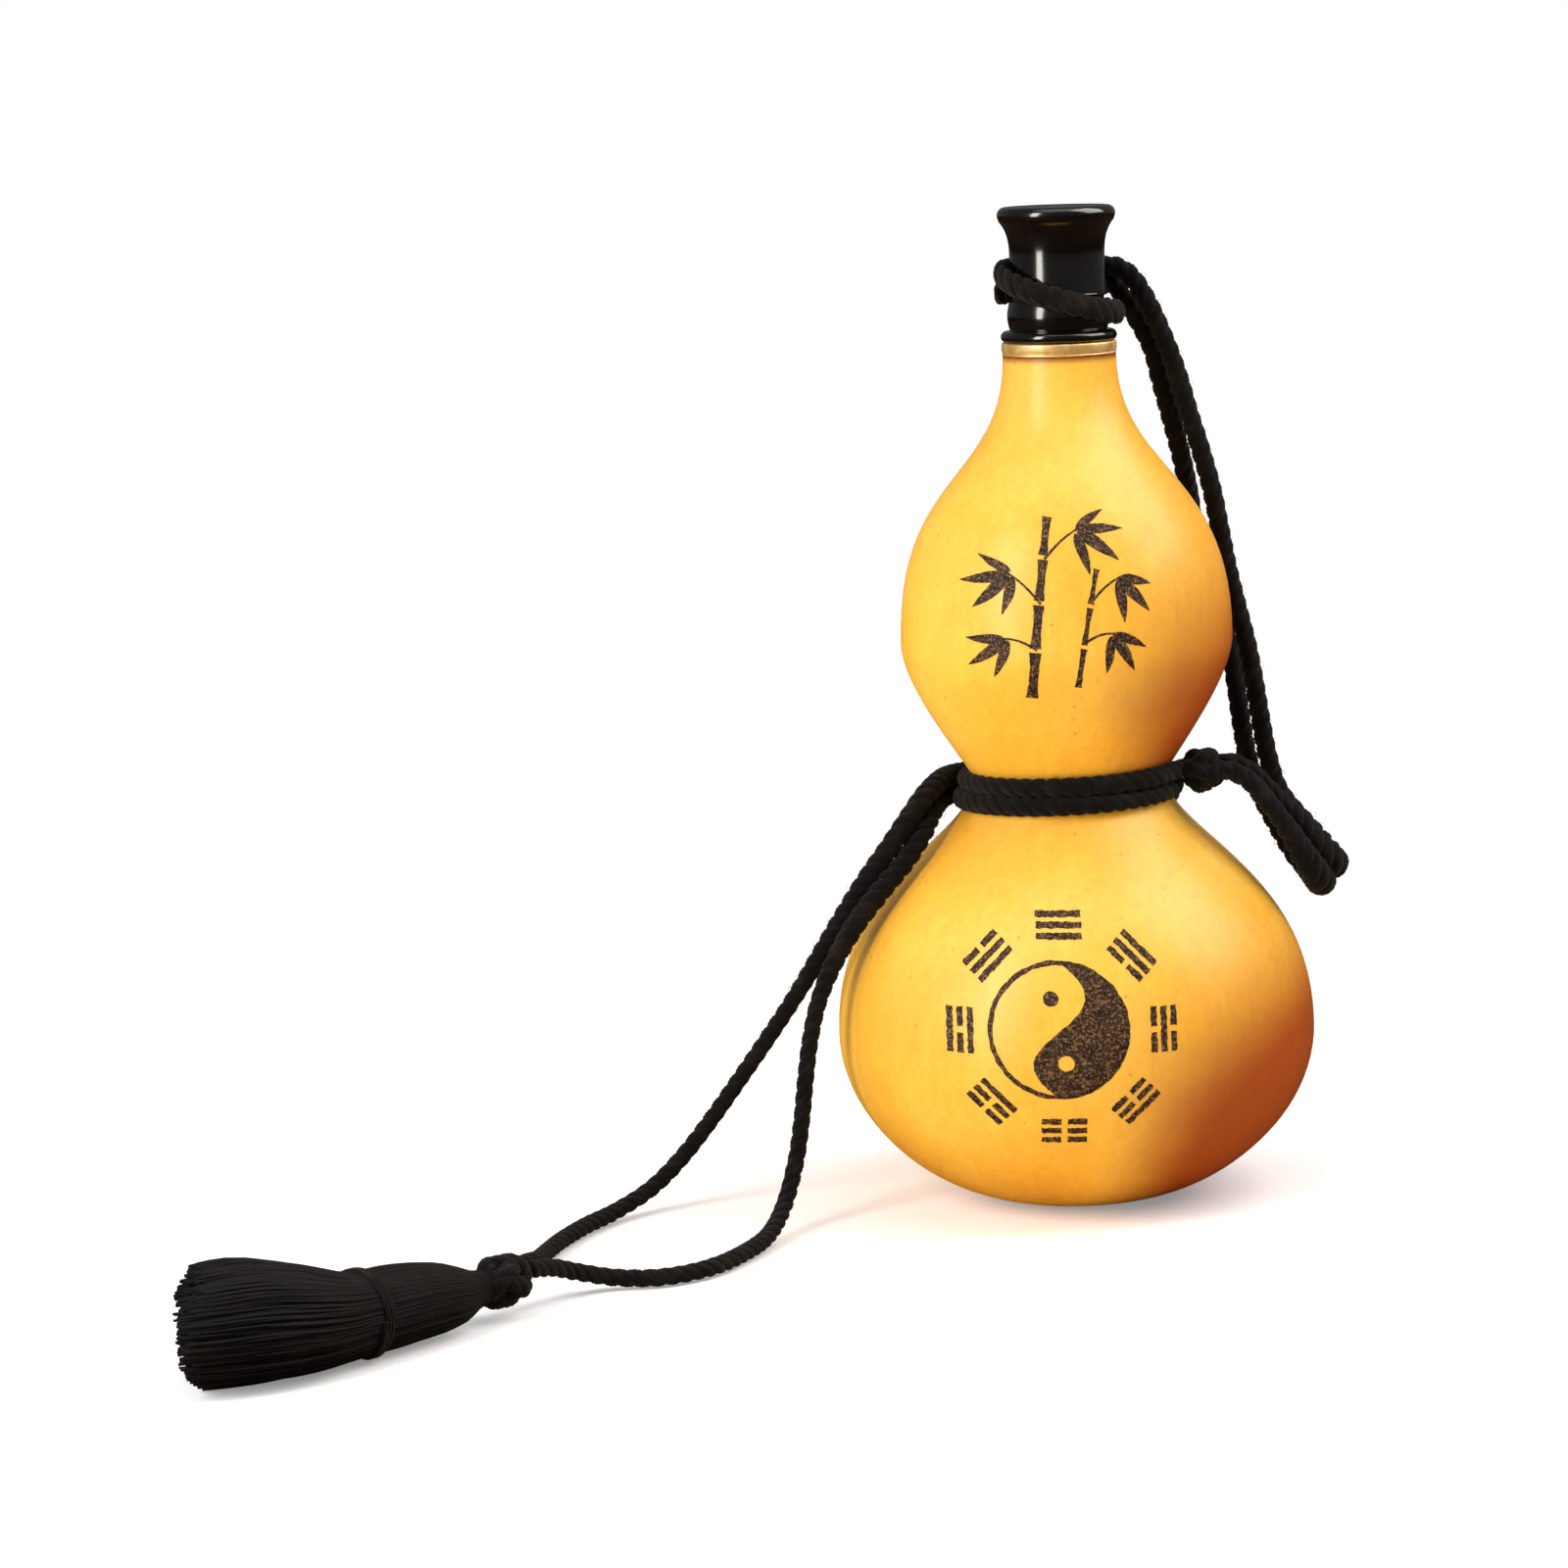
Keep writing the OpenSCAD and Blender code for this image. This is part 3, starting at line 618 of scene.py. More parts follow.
def insetOutline(points, depth):
    moved = []
    for spot, along in zip(points, headings(points)):
        inner = spot - Vector((along.y, -along.x)) * depth
        moved.append((max(inner.x, 0), inner.y))
    return moved


def gourdProfile(g):
    skin = [(p.x, p.y) for p in outline]
    boreZ = g['neckZ'] - g['boreDepth']
    hollow = [p for p in insetOutline(outline, g['wall']) if p[1] < boreZ - g['shoulder']]
    neckHole = [(g['boreR'], g['neckZ']), (g['boreR'], boreZ)]
    return [(0.0, 0.0)] + skin + neckHole + hollow[::-2] + [(0.0, hollow[0][1])]


gourdPiece = latheProfile('gourdSkin', gourdProfile(gourd), gourd['around'])

# A grown gourd is never quite round: the bulbs swell by a few tenths of a millimetre, and
# the swelling fades out at the foot and the neck
swell = dict(strength=0.9 * mm, width=0.045, footFade=12 * mm, neckFade=25 * mm)
swellGroup = gourdPiece.vertex_groups.new(name='bulbs')
for vertex in gourdPiece.data.vertices:
    x, y, z = vertex.co
    outside = math.hypot(x, y) > radiusAt(z) - 0.5 * mm
    fade = min(1, z / swell['footFade']) * min(1, (gourd['neckZ'] - z) / swell['neckFade'])
    swellGroup.add([vertex.index], max(0, fade) if outside else 0.0, 'REPLACE')
lumps = bpy.data.textures.new('gourdLumps', 'CLOUDS')
lumps.noise_scale = swell['width']
lumps.noise_depth = 1
selectOnly(gourdPiece)
lumpy = gourdPiece.modifiers.new('lumps', 'DISPLACE')
lumpy.texture = lumps
lumpy.texture_coords = 'LOCAL'
lumpy.strength = swell['strength']
lumpy.mid_level = 0.5
lumpy.vertex_group = 'bulbs'
bpy.ops.object.modifier_apply(modifier='lumps')

# Scraped and waxed rind: golden yellow, with a deep burnt orange painted shade on the lower
# right of each bulb, cloudy patches, fine upright fibres and a scatter of brown pores
gourdSkin, tree, place, patches, gold = newMaterial('WaxedGourdRind', 32.0, 3.0,
    [(0.3, '#F7B335'), (0.5, '#FCC042'), (0.7, '#FECC58')])
fibreMap = addNode(tree, 'Mapping', {'Scale': (420.0, 420.0, 60.0)}, {'Vector': place})
rindFibre = addNode(tree, 'TexNoise', {'Scale': 1.0, 'Detail': 4.0, 'Roughness': 0.6}, {'Vector': fibreMap})
mottle = addNode(tree, 'TexNoise', {'Scale': 700.0, 'Detail': 3.0, 'Roughness': 0.65}, {'Vector': place})
rind = gold
for pattern, dark, clear, share in ((rindFibre, '#EFEADF', 0.65, 0.55), (mottle, '#F3EFE7', 0.62, 0.7)):
    veil = addNode(tree, 'ValToRGB', None, {'Fac': pattern}, [(0.3, dark), (clear, '#FFFFFF')])
    rind = addNode(tree, 'MixRGB', {'blend_type': 'MULTIPLY', 'Fac': share},
        {'Color1': rind, 'Color2': veil})
# Painted shade: each bulb is painted a deep burnt orange on its lower right side, where it lies in
# shade. How far x counts towards it is slope times the height over the bulb's widest ring, plus level.
paintedShade = dict(slope=-700.0, level=20.0, wander=0.5, start=0.26, full=1.06)
gourdHeight = addNode(tree, 'SeparateXYZ', links={'Vector': place})
onUpper = addNode(tree, 'Math', {'operation': 'GREATER_THAN', 1: gourd['waistZ']},
    {0: gourdHeight.outputs['Z']})
bulbHeight = addNode(tree, 'Math', {'operation': 'MULTIPLY_ADD', 1: gourd['lowerZ'] - gourd['upperZ']},
    {0: onUpper, 2: gourdHeight.outputs['Z']})
shadeSlope = addNode(tree, 'Math', {'operation': 'MULTIPLY_ADD', 1: paintedShade['slope'],
    2: paintedShade['level'] - paintedShade['slope'] * gourd['lowerZ']}, {0: bulbHeight})
shadeSide = addNode(tree, 'Math', {'operation': 'MULTIPLY'}, {0: gourdHeight.outputs['X'], 1: shadeSlope})
shadeWander = addNode(tree, 'Math', {'operation': 'MULTIPLY_ADD', 1: paintedShade['wander']},
    {0: patches, 2: shadeSide})
shadeShare = addNode(tree, 'MapRange', {'From Min': paintedShade['start'], 'From Max': paintedShade['full'],
    'interpolation_type': 'SMOOTHSTEP'}, {'Value': shadeWander})
# The burnt orange painted shade is mixed into the rind here
shadedRind = addNode(tree, 'MixRGB', {'Color2': '#AA4A04'}, {'Fac': shadeShare, 'Color1': rind})
poreCells = addNode(tree, 'TexVoronoi', {'Scale': 240.0}, {'Vector': place})
poreDot = addNode(tree, 'MapRange', {'From Min': 0.06, 'From Max': 0.11, 'To Min': 0.45, 'To Max': 0.0},
    {'Value': poreCells.outputs['Distance']})
poreSplit = addNode(tree, 'SeparateColor', links={'Color': poreCells.outputs['Color']})
poreSome = addNode(tree, 'Math', {'operation': 'GREATER_THAN', 1: 0.72}, {0: poreSplit})
poreFade = addNode(tree, 'Math', {'operation': 'MULTIPLY'}, {0: poreDot, 1: poreSome})
spotted = addNode(tree, 'MixRGB', {'Color2': '#A8651C'}, {'Fac': poreFade, 'Color1': shadedRind})
# Painted shade: the rind right under the brass is darkened brown, from 1.4 mm below it
rimShadeShare = addNode(tree, 'MapRange', {'From Min': gourd['neckZ'] - 1.4 * mm,
    'From Max': gourd['neckZ'] - 0.1 * mm}, {'Value': gourdHeight.outputs['Z']})
rimShaded = addNode(tree, 'MixRGB', {'Color2': '#8A4A12'}, {'Fac': rimShadeShare, 'Color1': spotted})
rindRough = addNode(tree, 'MapRange', {'From Min': 0.3, 'From Max': 0.7, 'To Min': 0.36, 'To Max': 0.5},
    {'Value': mottle})
dents = addNode(tree, 'TexNoise', {'Scale': 90.0}, {'Vector': place})
dentBump = addNode(tree, 'Bump', {'Strength': 0.35, 'Distance': 0.25 * mm}, {'Height': dents})
fineBump = addNode(tree, 'Bump', {'Strength': 0.3, 'Distance': 0.05 * mm},
    {'Height': mottle, 'Normal': dentBump})
closeMaterial(tree, {'Specular IOR Level': 0.4, 'Coat Weight': 0.26, 'Coat Roughness': 0.34,
    'Subsurface Weight': 0.06, 'Subsurface Radius': (0.9, 0.45, 0.15), 'Subsurface Scale': 1.5 * mm},
    {'Base Color': rimShaded, 'Roughness': rindRough, 'Normal': fineBump})
finishPiece(gourdPiece, gourdSkin, 'bottle', ['gourd_shell'])
print('gourd turned')


# Burnt marks: flat outlines in millimetres, laid on the front of the gourd

def rough(points, step, amount):
    # Closed outline cut into short steps, with the tremble of a hot pen
    line = []
    for (x0, y0), (x1, y1) in zip(points, points[1:] + points[:1]):
        count = max(1, round(math.hypot(x1 - x0, y1 - y0) / step))
        for i in range(count):
            x = x0 + (x1 - x0) * i / count
            y = y0 + (y1 - y0) * i / count
            line.append((x + dice.uniform(-amount, amount), y + dice.uniform(-amount, amount)))
    return line


def arcPoints(x, y, r, start, end, count):
    return [(x + r * math.cos(math.radians(start + (end - start) * i / count)),
        y + r * math.sin(math.radians(start + (end - start) * i / count))) for i in range(count + 1)]


def disc(x, y, r, count):
    return arcPoints(x, y, r, 0, 360, count)[:-1]


def brushStroke(points, widths):
    # A stroke along points, with a width at each
    left, right = [], []
    for i, (x, y) in enumerate(points):
        x0, y0 = points[max(i - 1, 0)]
        x1, y1 = points[min(i + 1, len(points) - 1)]
        reach = math.hypot(x1 - x0, y1 - y0)
        nx, ny = -(y1 - y0) / reach * widths[i] / 2, (x1 - x0) / reach * widths[i] / 2
        left.append((x + nx, y + ny))
        right.append((x - nx, y - ny))
    return left + right[::-1]


def leafStroke(x, y, angle, length, width):
    # A bamboo leaf: a quick stroke that swells early and runs out to a point
    points, widths = [], []
    for i in range(15):
        t = i / 14
        a = math.radians(angle - 10.8 * t)
        x += length / 14 * math.cos(a) * (i > 0)
        y += length / 14 * math.sin(a) * (i > 0)
        points.append((x, y))
        widths.append(max(0.12, width * (math.sin(math.pi * t ** 0.7)) ** 0.8))
    return brushStroke(points, widths)


def layMark(name, shapes, centre, lean=0.0, lift=0.05 * mm, cell=1.2 * mm):
    # Each shape is an outline and its holes. They are filled, cut small and laid on the skin.
    pieces = []
    for outlines in shapes:
        drawn = bpy.data.curves.new(name, 'CURVE')
        drawn.dimensions = '2D'
        drawn.fill_mode = 'BOTH'
        for line in outlines:
            spline = drawn.splines.new('POLY')
            spline.points.add(len(line) - 1)
            for point, (x, y) in zip(spline.points, line):
                point.co = (x * mm, y * mm, 0, 1)
            spline.use_cyclic_u = True
        piece = bpy.data.objects.new(name, drawn)
        bpy.context.collection.objects.link(piece)
        selectOnly(piece)
        bpy.ops.object.convert(target='MESH')
        pieces.append(bpy.context.object)
    bpy.ops.object.select_all(action='DESELECT')
    for piece in pieces:
        piece.select_set(True)
    bpy.context.view_layer.objects.active = pieces[0]
    bpy.ops.object.join()
    mark = bpy.context.object
    mark.name = name
    size = max(max(abs(v.co.x), abs(v.co.y)) for v in mark.data.vertices)
    cuts = math.ceil(size / cell)
    bpy.ops.object.mode_set(mode='EDIT')
    for axis in ((1, 0, 0), (0, 1, 0)):
        for i in range(-cuts, cuts + 1):
            bpy.ops.mesh.select_all(action='SELECT')
            bpy.ops.mesh.bisect(plane_co=[part * i * cell for part in axis], plane_no=axis)
    bpy.ops.object.mode_set(mode='OBJECT')
    place = Matrix.Translation((centre[0] * mm, -0.08, centre[1] * mm))
    mark.data.transform(place @ turned(90, 'X') @ turned(lean, 'Z'))
    wrap = mark.modifiers.new('lay', 'SHRINKWRAP')
    wrap.target = gourdPiece
    wrap.wrap_method = 'PROJECT'
    wrap.use_project_y = True
    wrap.use_positive_direction = True
    wrap.use_negative_direction = False
    bpy.ops.object.modifier_apply(modifier='lay')
    for vertex in mark.data.vertices:
        vertex.co += Vector((vertex.co.x, vertex.co.y, 0)).normalized() * lift
    bpy.ops.object.shade_smooth()
    finishPiece(mark, burnt, 'bottle')


# Hot-pen burning: brown black, broken by unburnt grains of rind
burnt, tree, place, _, char = newMaterial('PyrographyOnRind', 500.0, 3.0,
    [(0.35, '#1C0F0A'), (0.65, '#35221A')])
grains = addNode(tree, 'TexNoise', {'Scale': 1900.0, 'Detail': 3.0, 'Roughness': 0.75}, {'Vector': place})
grainFade = addNode(tree, 'MapRange', {'From Min': 0.5, 'From Max': 0.64, 'To Max': 0.6}, {'Value': grains})
charred = addNode(tree, 'MixRGB', {'Color2': '#A98257'}, {'Fac': grainFade, 'Color1': char})
charBump = addNode(tree, 'Bump', {'Strength': 0.6, 'Distance': 0.08 * mm}, {'Height': grains})
closeMaterial(tree, {'Roughness': 0.6, 'Specular IOR Level': 0.25},
    {'Base Color': charred, 'Normal': charBump})

# The old pattern of two drops in a ring, with the eight signs of three bars round it
emblem = dict(centre=(-6.0, 42.6), lean=-1.2, ringR=13.8, ringLine=0.85, dropReach=5.1, flat=0.965,
    # The hole in the dark drop and the dot in the pale one
    hole=(1.3, -6.4, 1.6), dot=(-1.6, 6.5, 1.55),
    signCentre=(-5.3, 42.35), signLean=-0.3, signR=19.9, barL=8.9, barT=1.2, barPitch=1.98, barGap=1.15,
    # From the top clockwise, each from the inner bar outwards: 1 whole, 0 broken
    signs=('111', '011', '010', '001', '000', '100', '101', '110'))


def ringDrops(e):
    r = e['ringR']
    swirl = [(e['dropReach'] * math.sin(math.pi * i / 30), r * i / 30) for i in range(-29, 30)]
    dark = arcPoints(0, 0, r, 90, -90, 60) + swirl
    ring = [rough(disc(0, 0, edge, 90), 0.8, 0.13) for edge in (r + 0.1, r - e['ringLine'])]
    drawn = [ring, [rough(dark, 0.6, 0.08), rough(disc(*e['hole'], 20), 0.5, 0.08)],
        [rough(disc(*e['dot'], 20), 0.5, 0.08)]]
    return [[[(x, y * e['flat']) for x, y in line] for line in shape] for shape in drawn]


def signBars(e):
    shapes = []
    half, gap, thick = e['barL'] / 2, e['barGap'] / 2, e['barT'] / 2
    for number, sign in enumerate(e['signs']):
        turn = math.radians(-45 * number)
        for row, whole in enumerate(sign):
            up = e['signR'] + (row - 1) * e['barPitch']
            runs = [(-half, half)] if whole == '1' else [(-half, -gap), (gap, half)]
            for start, end in runs:
                corners = [(start, up - thick), (end, up - thick), (end, up + thick), (start, up + thick)]
                spun = [(x * math.cos(turn) - y * math.sin(turn), x * math.sin(turn) + y * math.cos(turn))
                    for x, y in corners]
                shapes.append([rough(spun, 0.5, 0.12)])
    return shapes


layMark('ringMark', ringDrops(emblem), emblem['centre'], emblem['lean'])
layMark('signMarks', signBars(emblem), emblem['signCentre'], emblem['signLean'])

# A spray of bamboo on the upper bulb, drawn freely for this bottle
bamboo = dict(centre=(-3.3, 124.0),
    # Foot, lean, width and number of lengths
    stems=((-5.5, -17.5, 4.5, 2.1, 4), (3.5, -15.5, 9.0, 1.2, 3)),
    twigs=((-3.4, 1.2, -10, 7.5), (-2.4, 9.8, 4.5, 15.5), (6.4, 1.2, 12.5, 6), (-4.4, -7.8, -11, -5.5),
        (5.2, -6.5, 11, -5)),
    # Stalk, angle, length and width, in groups that hang at the ends of the twigs
    leaves=((-9.5, 7.2, 195, 9.5, 2.2), (-9.3, 7.2, 228, 10, 2.4), (-9, 7.6, 158, 7, 1.8),
        (-8.6, 6.8, 258, 8, 2.0), (4.3, 15.2, 5, 9, 2.0), (4.2, 15, -30, 10, 2.4), (4, 15.4, 38, 6.5, 1.7),
        (3.8, 14.6, -66, 8.5, 2.1), (12.2, 5.8, -8, 6.5, 1.9), (12, 5.6, -42, 9, 2.3),
        (11.8, 5.4, -76, 8.5, 2.1), (-10.6, -5.5, 186, 7.5, 2.0), (-10.4, -5.6, 222, 9, 2.3),
        (-10, -5.8, 255, 8, 2.0), (10.8, -5, -20, 7, 1.9), (10.6, -5.2, -55, 8.5, 2.2),
        (10.2, -5.4, -92, 7.5, 1.9)))


def bambooSpray(b):
    shapes = []
    for x, y, lean, width, joints in b['stems']:
        for joint in range(joints):
            a = math.radians(90 - lean - 1.5 * joint)
            length = (9.2 - 0.6 * joint) * (0.85 if width < 2 else 1)
            points, widths = [], []
            for i in range(9):
                t = i / 8
                points.append((x + length * t * math.cos(a), y + length * t * math.sin(a)))
                widths.append(width * (1 - 0.07 * joint) * (0.86 + 0.3 * abs(2 * t - 1) ** 3))
            shapes.append([rough(brushStroke(points, widths), 0.6, 0.08)])
            x, y = x + (length + 0.8) * math.cos(a), y + (length + 0.8) * math.sin(a)
    for x0, y0, x1, y1 in b['twigs']:
        points = [(x0 + (x1 - x0) * i / 6, y0 + (y1 - y0) * i / 6 + 0.6 * math.sin(math.pi * i / 6))
            for i in range(7)]
        shapes.append([brushStroke(points, [0.55 - 0.03 * i for i in range(7)])])
    for leaf in b['leaves']:
        shapes.append([rough(leafStroke(*leaf), 0.7, 0.05)])
    return shapes


layMark('bambooMark', bambooSpray(bamboo), bamboo['centre'])
print('burnt marks laid')


# Brass mouth: turned on a lathe, with a bead at each edge of the rim

mouth = dict(rimR=11.6 * mm, rimH=2.7 * mm, sleeveR=8.2 * mm, boreR=6.5 * mm, sleeveL=16 * mm,
    neckZ=172 * mm, lead=0.6 * mm, beadR=0.26 * mm, beadIn=0.32 * mm, beadUp=0.36 * mm, grooveIn=0.34 * mm,
    edgeR=0.4 * mm)


def mouthProfile(m):
    rim, z0, z1 = m['rimR'], m['neckZ'], m['neckZ'] + m['rimH']
    bore, lead, low, groove = m['boreR'], m['lead'], z0 - m['sleeveL'], rim - m['grooveIn']
    profile = [(bore, low + lead), (bore + lead, low), (m['sleeveR'], low), (m['sleeveR'], z0)]
    profile += [(rim - lead, z0)]
    # A thin bead at the foot, a fine groove, then the plain band with its eased top edge
    profile += arcPoints(rim - m['beadIn'], z0 + m['beadUp'], m['beadR'], -60, 70, 8)
    profile += [(groove, z0 + 0.66 * mm), (groove, z0 + 0.76 * mm), (rim - 0.1 * mm, z0 + 0.84 * mm),
        (rim, z0 + 1.0 * mm), (rim, z1 - lead)]
    profile += arcPoints(rim - m['edgeR'], z1 - m['edgeR'], m['edgeR'], 0, 90, 8)
    return profile + [(bore + lead, z1), (bore, z1 - lead), (bore, low + lead)]


mouthPiece = latheProfile('brassMouth', mouthProfile(mouth), 128)
# Polished on the lathe: fine rings round the axis and a little brown tarnish
brass, tree, place, tarnish, tone = newMaterial('TurnedLacqueredBrass', 350.0, 3.0,
    [(0.35, '#F0B964'), (0.6, '#FFE2A4')])
ringMap = addNode(tree, 'Mapping', {'Scale': (60.0, 60.0, 4200.0)}, {'Vector': place})
rings = addNode(tree, 'TexNoise', {'Scale': 1.0}, {'Vector': ringMap})
brassRough = addNode(tree, 'MapRange', {'To Min': 0.44, 'To Max': 0.58}, {'Value': tarnish})
brassBump = addNode(tree, 'Bump', {'Strength': 0.25, 'Distance': 0.02 * mm}, {'Height': rings})
closeMaterial(tree, {'Metallic': 0.76}, {'Base Color': tone, 'Roughness': brassRough, 'Normal': brassBump})
finishPiece(mouthPiece, brass, 'bottle', ['brass_mouth'])


# Stopper: a bead, a drum, a groove and a flared knob with a rolled lip

stopper = dict(baseZ=174.7 * mm, beadR=11.7 * mm, beadH=2.3 * mm, drumR=10.3 * mm, drumH=5.9 * mm,
    drumSwell=0.5 * mm, grooveR=9.3 * mm, grooveW=1.0 * mm, shoulderR=10.1 * mm, shoulderEdge=0.3 * mm,
    gripR=9.6 * mm, gripShare=0.47, flareShare=0.18, lipR=11.9 * mm, lipH=3.2 * mm, knobH=17.9 * mm,
    dish=0.6 * mm, spigotR=4.0 * mm, spigotL=12.0 * mm)


def stopperProfile(s):
    drumZ = s['baseZ'] + s['beadH']
    grooveZ = drumZ + s['drumH']
    knobZ = grooveZ + s['grooveW']
    topZ = knobZ + s['knobH']
    bead, lip, eased = s['beadH'] / 2, s['lipH'] / 2, s['shoulderEdge']
    lipZ, gripZ = topZ - lip, knobZ + s['knobH'] * s['gripShare']
    profile = [(s['spigotR'], s['baseZ'])]
    profile += arcPoints(s['beadR'] - bead, s['baseZ'] + bead, bead, -90, 90, 16)
    side = s['drumR'] - s['drumSwell']
    profile += [(side + s['drumSwell'] * math.sin(math.pi * i / 14), drumZ + s['drumH'] * i / 14)
        for i in range(15)]
    profile += [(s['grooveR'], grooveZ + 0.2 * mm), (s['grooveR'], knobZ - 0.2 * mm)]
    profile += arcPoints(s['shoulderR'] - eased, knobZ + eased, eased, -90, 80, 8)
    profile += [(s['shoulderR'] - 0.12 * mm, knobZ + 0.7 * mm)]
    # Two curves: from the shoulder in to the grip, and from there out under the lip
    shoulder = Vector((s['shoulderR'] - 0.14 * mm, knobZ + 1.0 * mm))
    leave = Vector((s['gripR'] + 0.1 * mm, knobZ + 4 * mm))
    grip = Vector((s['gripR'], gripZ))
    below = grip - Vector((0, 2.5 * mm))
    above = grip + Vector((0, s['knobH'] * s['flareShare']))
    under = Vector((s['lipR'] - lip, lipZ - lip - 1.2 * mm))
    edge = Vector((s['lipR'] - lip * 0.2, lipZ - lip * 0.8))
    profile += [tuple(cubic(shoulder, leave, below, grip, i / 8)) for i in range(8)]
    profile += [tuple(cubic(grip, above, under, edge, i / 20)) for i in range(21)]
    profile += arcPoints(s['lipR'] - lip, lipZ, lip, -16, 90, 16)
    profile += [(s['lipR'] - 2 * lip, topZ - s['dish'] / 2), (0.0, topZ - s['dish'])]
    spigotTop = s['baseZ'] + s['spigotL']
    return profile + [(0.0, spigotTop), (s['spigotR'], spigotTop), (s['spigotR'], s['baseZ'])]


stopperPiece = latheProfile('stopperKnob', stopperProfile(stopper), 128)
# Moulded and buffed: near black with a warm cast, faint swirls of the buffing wheel
resin, tree, place, _, tone = newMaterial('PolishedBlackResin', 120.0, 3.0,
    [(0.35, '#050303'), (0.7, '#0C0807')])
buffMap = addNode(tree, 'Mapping', {'Scale': (140.0, 140.0, 1500.0)}, {'Vector': place})
buffing = addNode(tree, 'TexNoise', {'Scale': 1.0, 'Detail': 3.0}, {'Vector': buffMap})
resinRough = addNode(tree, 'MapRange', {'To Min': 0.12, 'To Max': 0.24}, {'Value': buffing})
resinBump = addNode(tree, 'Bump', {'Strength': 0.12, 'Distance': 0.02 * mm}, {'Height': buffing})
closeMaterial(tree, {'IOR': 1.48, 'Coat Weight': 0.9, 'Coat Roughness': 0.12},
    {'Base Color': tone, 'Roughness': resinRough, 'Normal': resinBump})
finishPiece(stopperPiece, resin, 'stopper', ['stopper_body'])
print('mouth and stopper turned')


# The pieces inside keep their solids and get their finishes

def plainFinish(name, low, high, scale, bumpDepth, settings):
    made, tree, _, cloud, tone = newMaterial(name, scale, 4.0, [(0.35, low), (0.7, high)])
    bump = addNode(tree, 'Bump', {'Strength': 0.4, 'Distance': bumpDepth}, {'Height': cloud})
    closeMaterial(tree, settings, {'Base Color': tone, 'Normal': bump})
    return made


# Satin moulded plastic, silicone rubber and brushed-in beeswax
stemFinish = plainFinish('SatinBlackAbs', '#1B1817', '#2A2624', 900.0, 0.02 * mm,
    {'Roughness': 0.45, 'IOR': 1.53})
sealFinish = plainFinish('GreySiliconeRubber', '#38383A', '#47474A', 700.0, 0.01 * mm,
    {'Roughness': 0.6, 'IOR': 1.41})
waxFinish = plainFinish('BrushedBeeswax', '#9A6A22', '#C08C38', 220.0, 0.15 * mm,
    {'Roughness': 0.5, 'IOR': 1.44, 'Subsurface Weight': 0.2, 'Subsurface Scale': 1.0 * mm})
for nodeName, finish in (('stopper_stem', stemFinish), ('upper_seal_ring', sealFinish),
        ('lower_seal_ring', sealFinish), ('wax_lining', waxFinish)):
    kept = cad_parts[nodeName]
    kept.data.materials.clear()
    kept.data.materials.append(finish)
print('inner pieces finished')


# Room: a pale floor, a key softbox at the upper left, one at the right, and a soft top

room = dict(floorSize=6.0, floorZ=-0.0002, bounce='#F8E4B8', mirror='#3A2C22', whiteFrom=0.13, whiteTo=0.3,
    centre=(-0.06, -0.03, 0.0), lift=0.24, worldLight=0.3, worldGloss=0.11, aimZ=0.1)
lamps = (
    dict(name='keySoftbox', side=-46, rise=22, far=0.85, wide=0.22, tall=0.72, watts=5.5, shine=True,
        colour='#FFFAF2'),
    dict(name='rightSoftbox', side=84, rise=46, far=0.8, wide=0.6, tall=0.7, watts=5.8, shine=True,
        colour='#FFFAF2'),
    dict(name='topSoftbox', side=10, rise=80, far=1.0, wide=0.8, tall=0.8, watts=2.2, shine=True,
        colour='#FFFFFF'),
    # A broad fill that softens the shadow at the left and leaves no reflection
    dict(name='leftFill', side=-95, rise=10, far=1.0, wide=1.0, tall=0.9, watts=4.7, shine=False,
        colour='#FFFFFF'))


def makeLamp(d):
    side, rise = math.radians(d['side']), math.radians(d['rise'])
    away = Vector((math.sin(side) * math.cos(rise), -math.cos(side) * math.cos(rise), math.sin(rise)))
    bpy.ops.object.light_add(type='AREA')
    lamp = bpy.context.object
    lamp.name = d['name']
    stand = Vector((0, 0, room['aimZ'])) + away * d['far']
    lamp.matrix_world = Matrix.Translation(stand) @ away.to_track_quat('Z', 'Y').to_matrix().to_4x4()
    lamp.data.shape = 'RECTANGLE'
    lamp.data.size = d['wide']
    lamp.data.size_y = d['tall']
    lamp.data.energy = d['watts']
    lamp.data.color = linearColour(d['colour'])[:3]
    lamp.visible_glossy = d['shine']


for lampDetails in lamps:
    makeLamp(lampDetails)

bpy.ops.mesh.primitive_plane_add(size=room['floorSize'], location=(0, 0, room['floorZ']))
floor = bpy.context.object
floor.name = 'studioFloor'
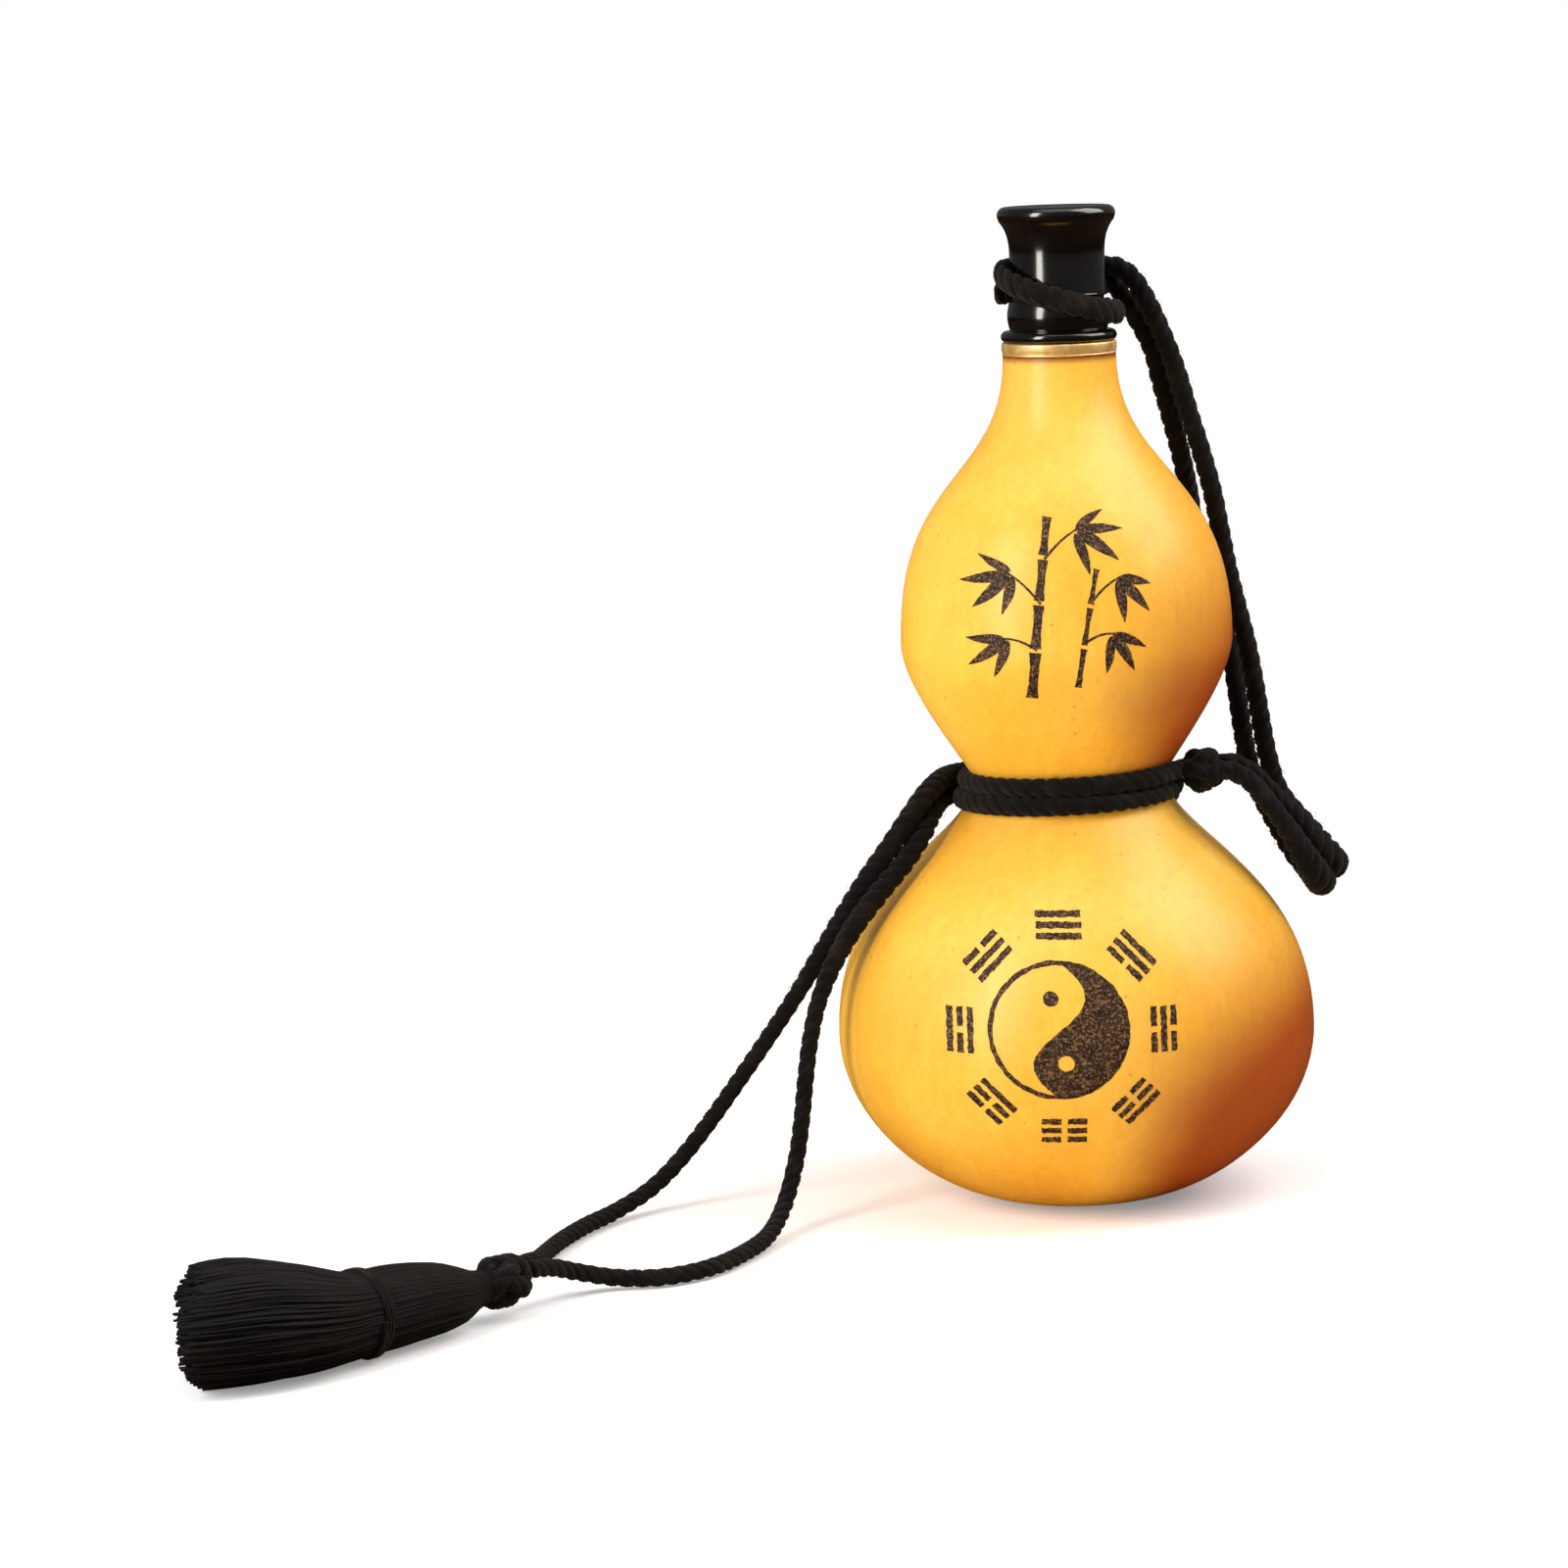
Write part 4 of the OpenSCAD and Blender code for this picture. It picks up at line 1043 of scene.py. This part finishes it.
# White paper sweep: it shows the shadow near the bottle and runs out to plain white. The
# light that it throws back is warm, and glossy pieces mirror it dark.
floorPaint, tree, place, _, tone = newMaterial('PalePaperFloor', 3.0, 2.0,
    [(0.3, '#F5F6F8'), (0.7, '#F9FAFC')])
rays = addNode(tree, 'LightPath').outputs
floorOther = addNode(tree, 'MixRGB', {'Color1': room['bounce'], 'Color2': room['mirror']},
    {'Fac': rays['Is Glossy Ray']})
floorSeen = addNode(tree, 'MixRGB', None,
    {'Fac': rays['Is Camera Ray'], 'Color1': floorOther, 'Color2': tone})
floorLift = addNode(tree, 'Math', {'operation': 'MULTIPLY', 1: room['lift']}, {0: rays['Is Camera Ray']})
floorShader = addNode(tree, 'BsdfPrincipled', {'Roughness': 0.9, 'Specular IOR Level': 0.1,
    'Emission Color': '#FFFFFF'}, {'Base Color': floorSeen, 'Emission Strength': floorLift})
floorOff = addNode(tree, 'VectorMath', {'operation': 'SUBTRACT', 1: room['centre']}, {0: place})
floorReach = addNode(tree, 'VectorMath', {'operation': 'LENGTH'}, {0: floorOff})
floorFade = addNode(tree, 'MapRange', {'From Min': room['whiteFrom'], 'From Max': room['whiteTo'],
    'interpolation_type': 'SMOOTHSTEP'}, {'Value': floorReach.outputs['Value']})
floorFar = addNode(tree, 'Math', {'operation': 'MULTIPLY'}, {0: floorFade, 1: rays['Is Camera Ray']})
floorGlow = addNode(tree, 'Emission')
floorMix = addNode(tree, 'MixShader', None, {0: floorFar, 1: floorShader, 2: floorGlow})
addNode(tree, 'OutputMaterial', None, {'Surface': floorMix})
floor.data.materials.append(floorPaint)

world = bpy.data.worlds.new('paleRoom')
bpy.context.scene.world = world
world.use_nodes = True
tree = world.node_tree
tree.nodes.clear()
rays = addNode(tree, 'LightPath').outputs
roomLight = addNode(tree, 'Math', {'operation': 'MULTIPLY_ADD', 2: room['worldLight'],
    1: room['worldGloss'] - room['worldLight']}, {0: rays['Is Glossy Ray']})
worldShare = addNode(tree, 'Math', {'operation': 'MAXIMUM'}, {0: rays['Is Camera Ray'], 1: roomLight})
worldGlow = addNode(tree, 'Background', {'Color': '#FFFFFF'}, {'Strength': worldShare})
addNode(tree, 'OutputWorld', None, {'Surface': worldGlow})
bpy.context.scene.view_settings.view_transform = 'Standard'
print('room lit')
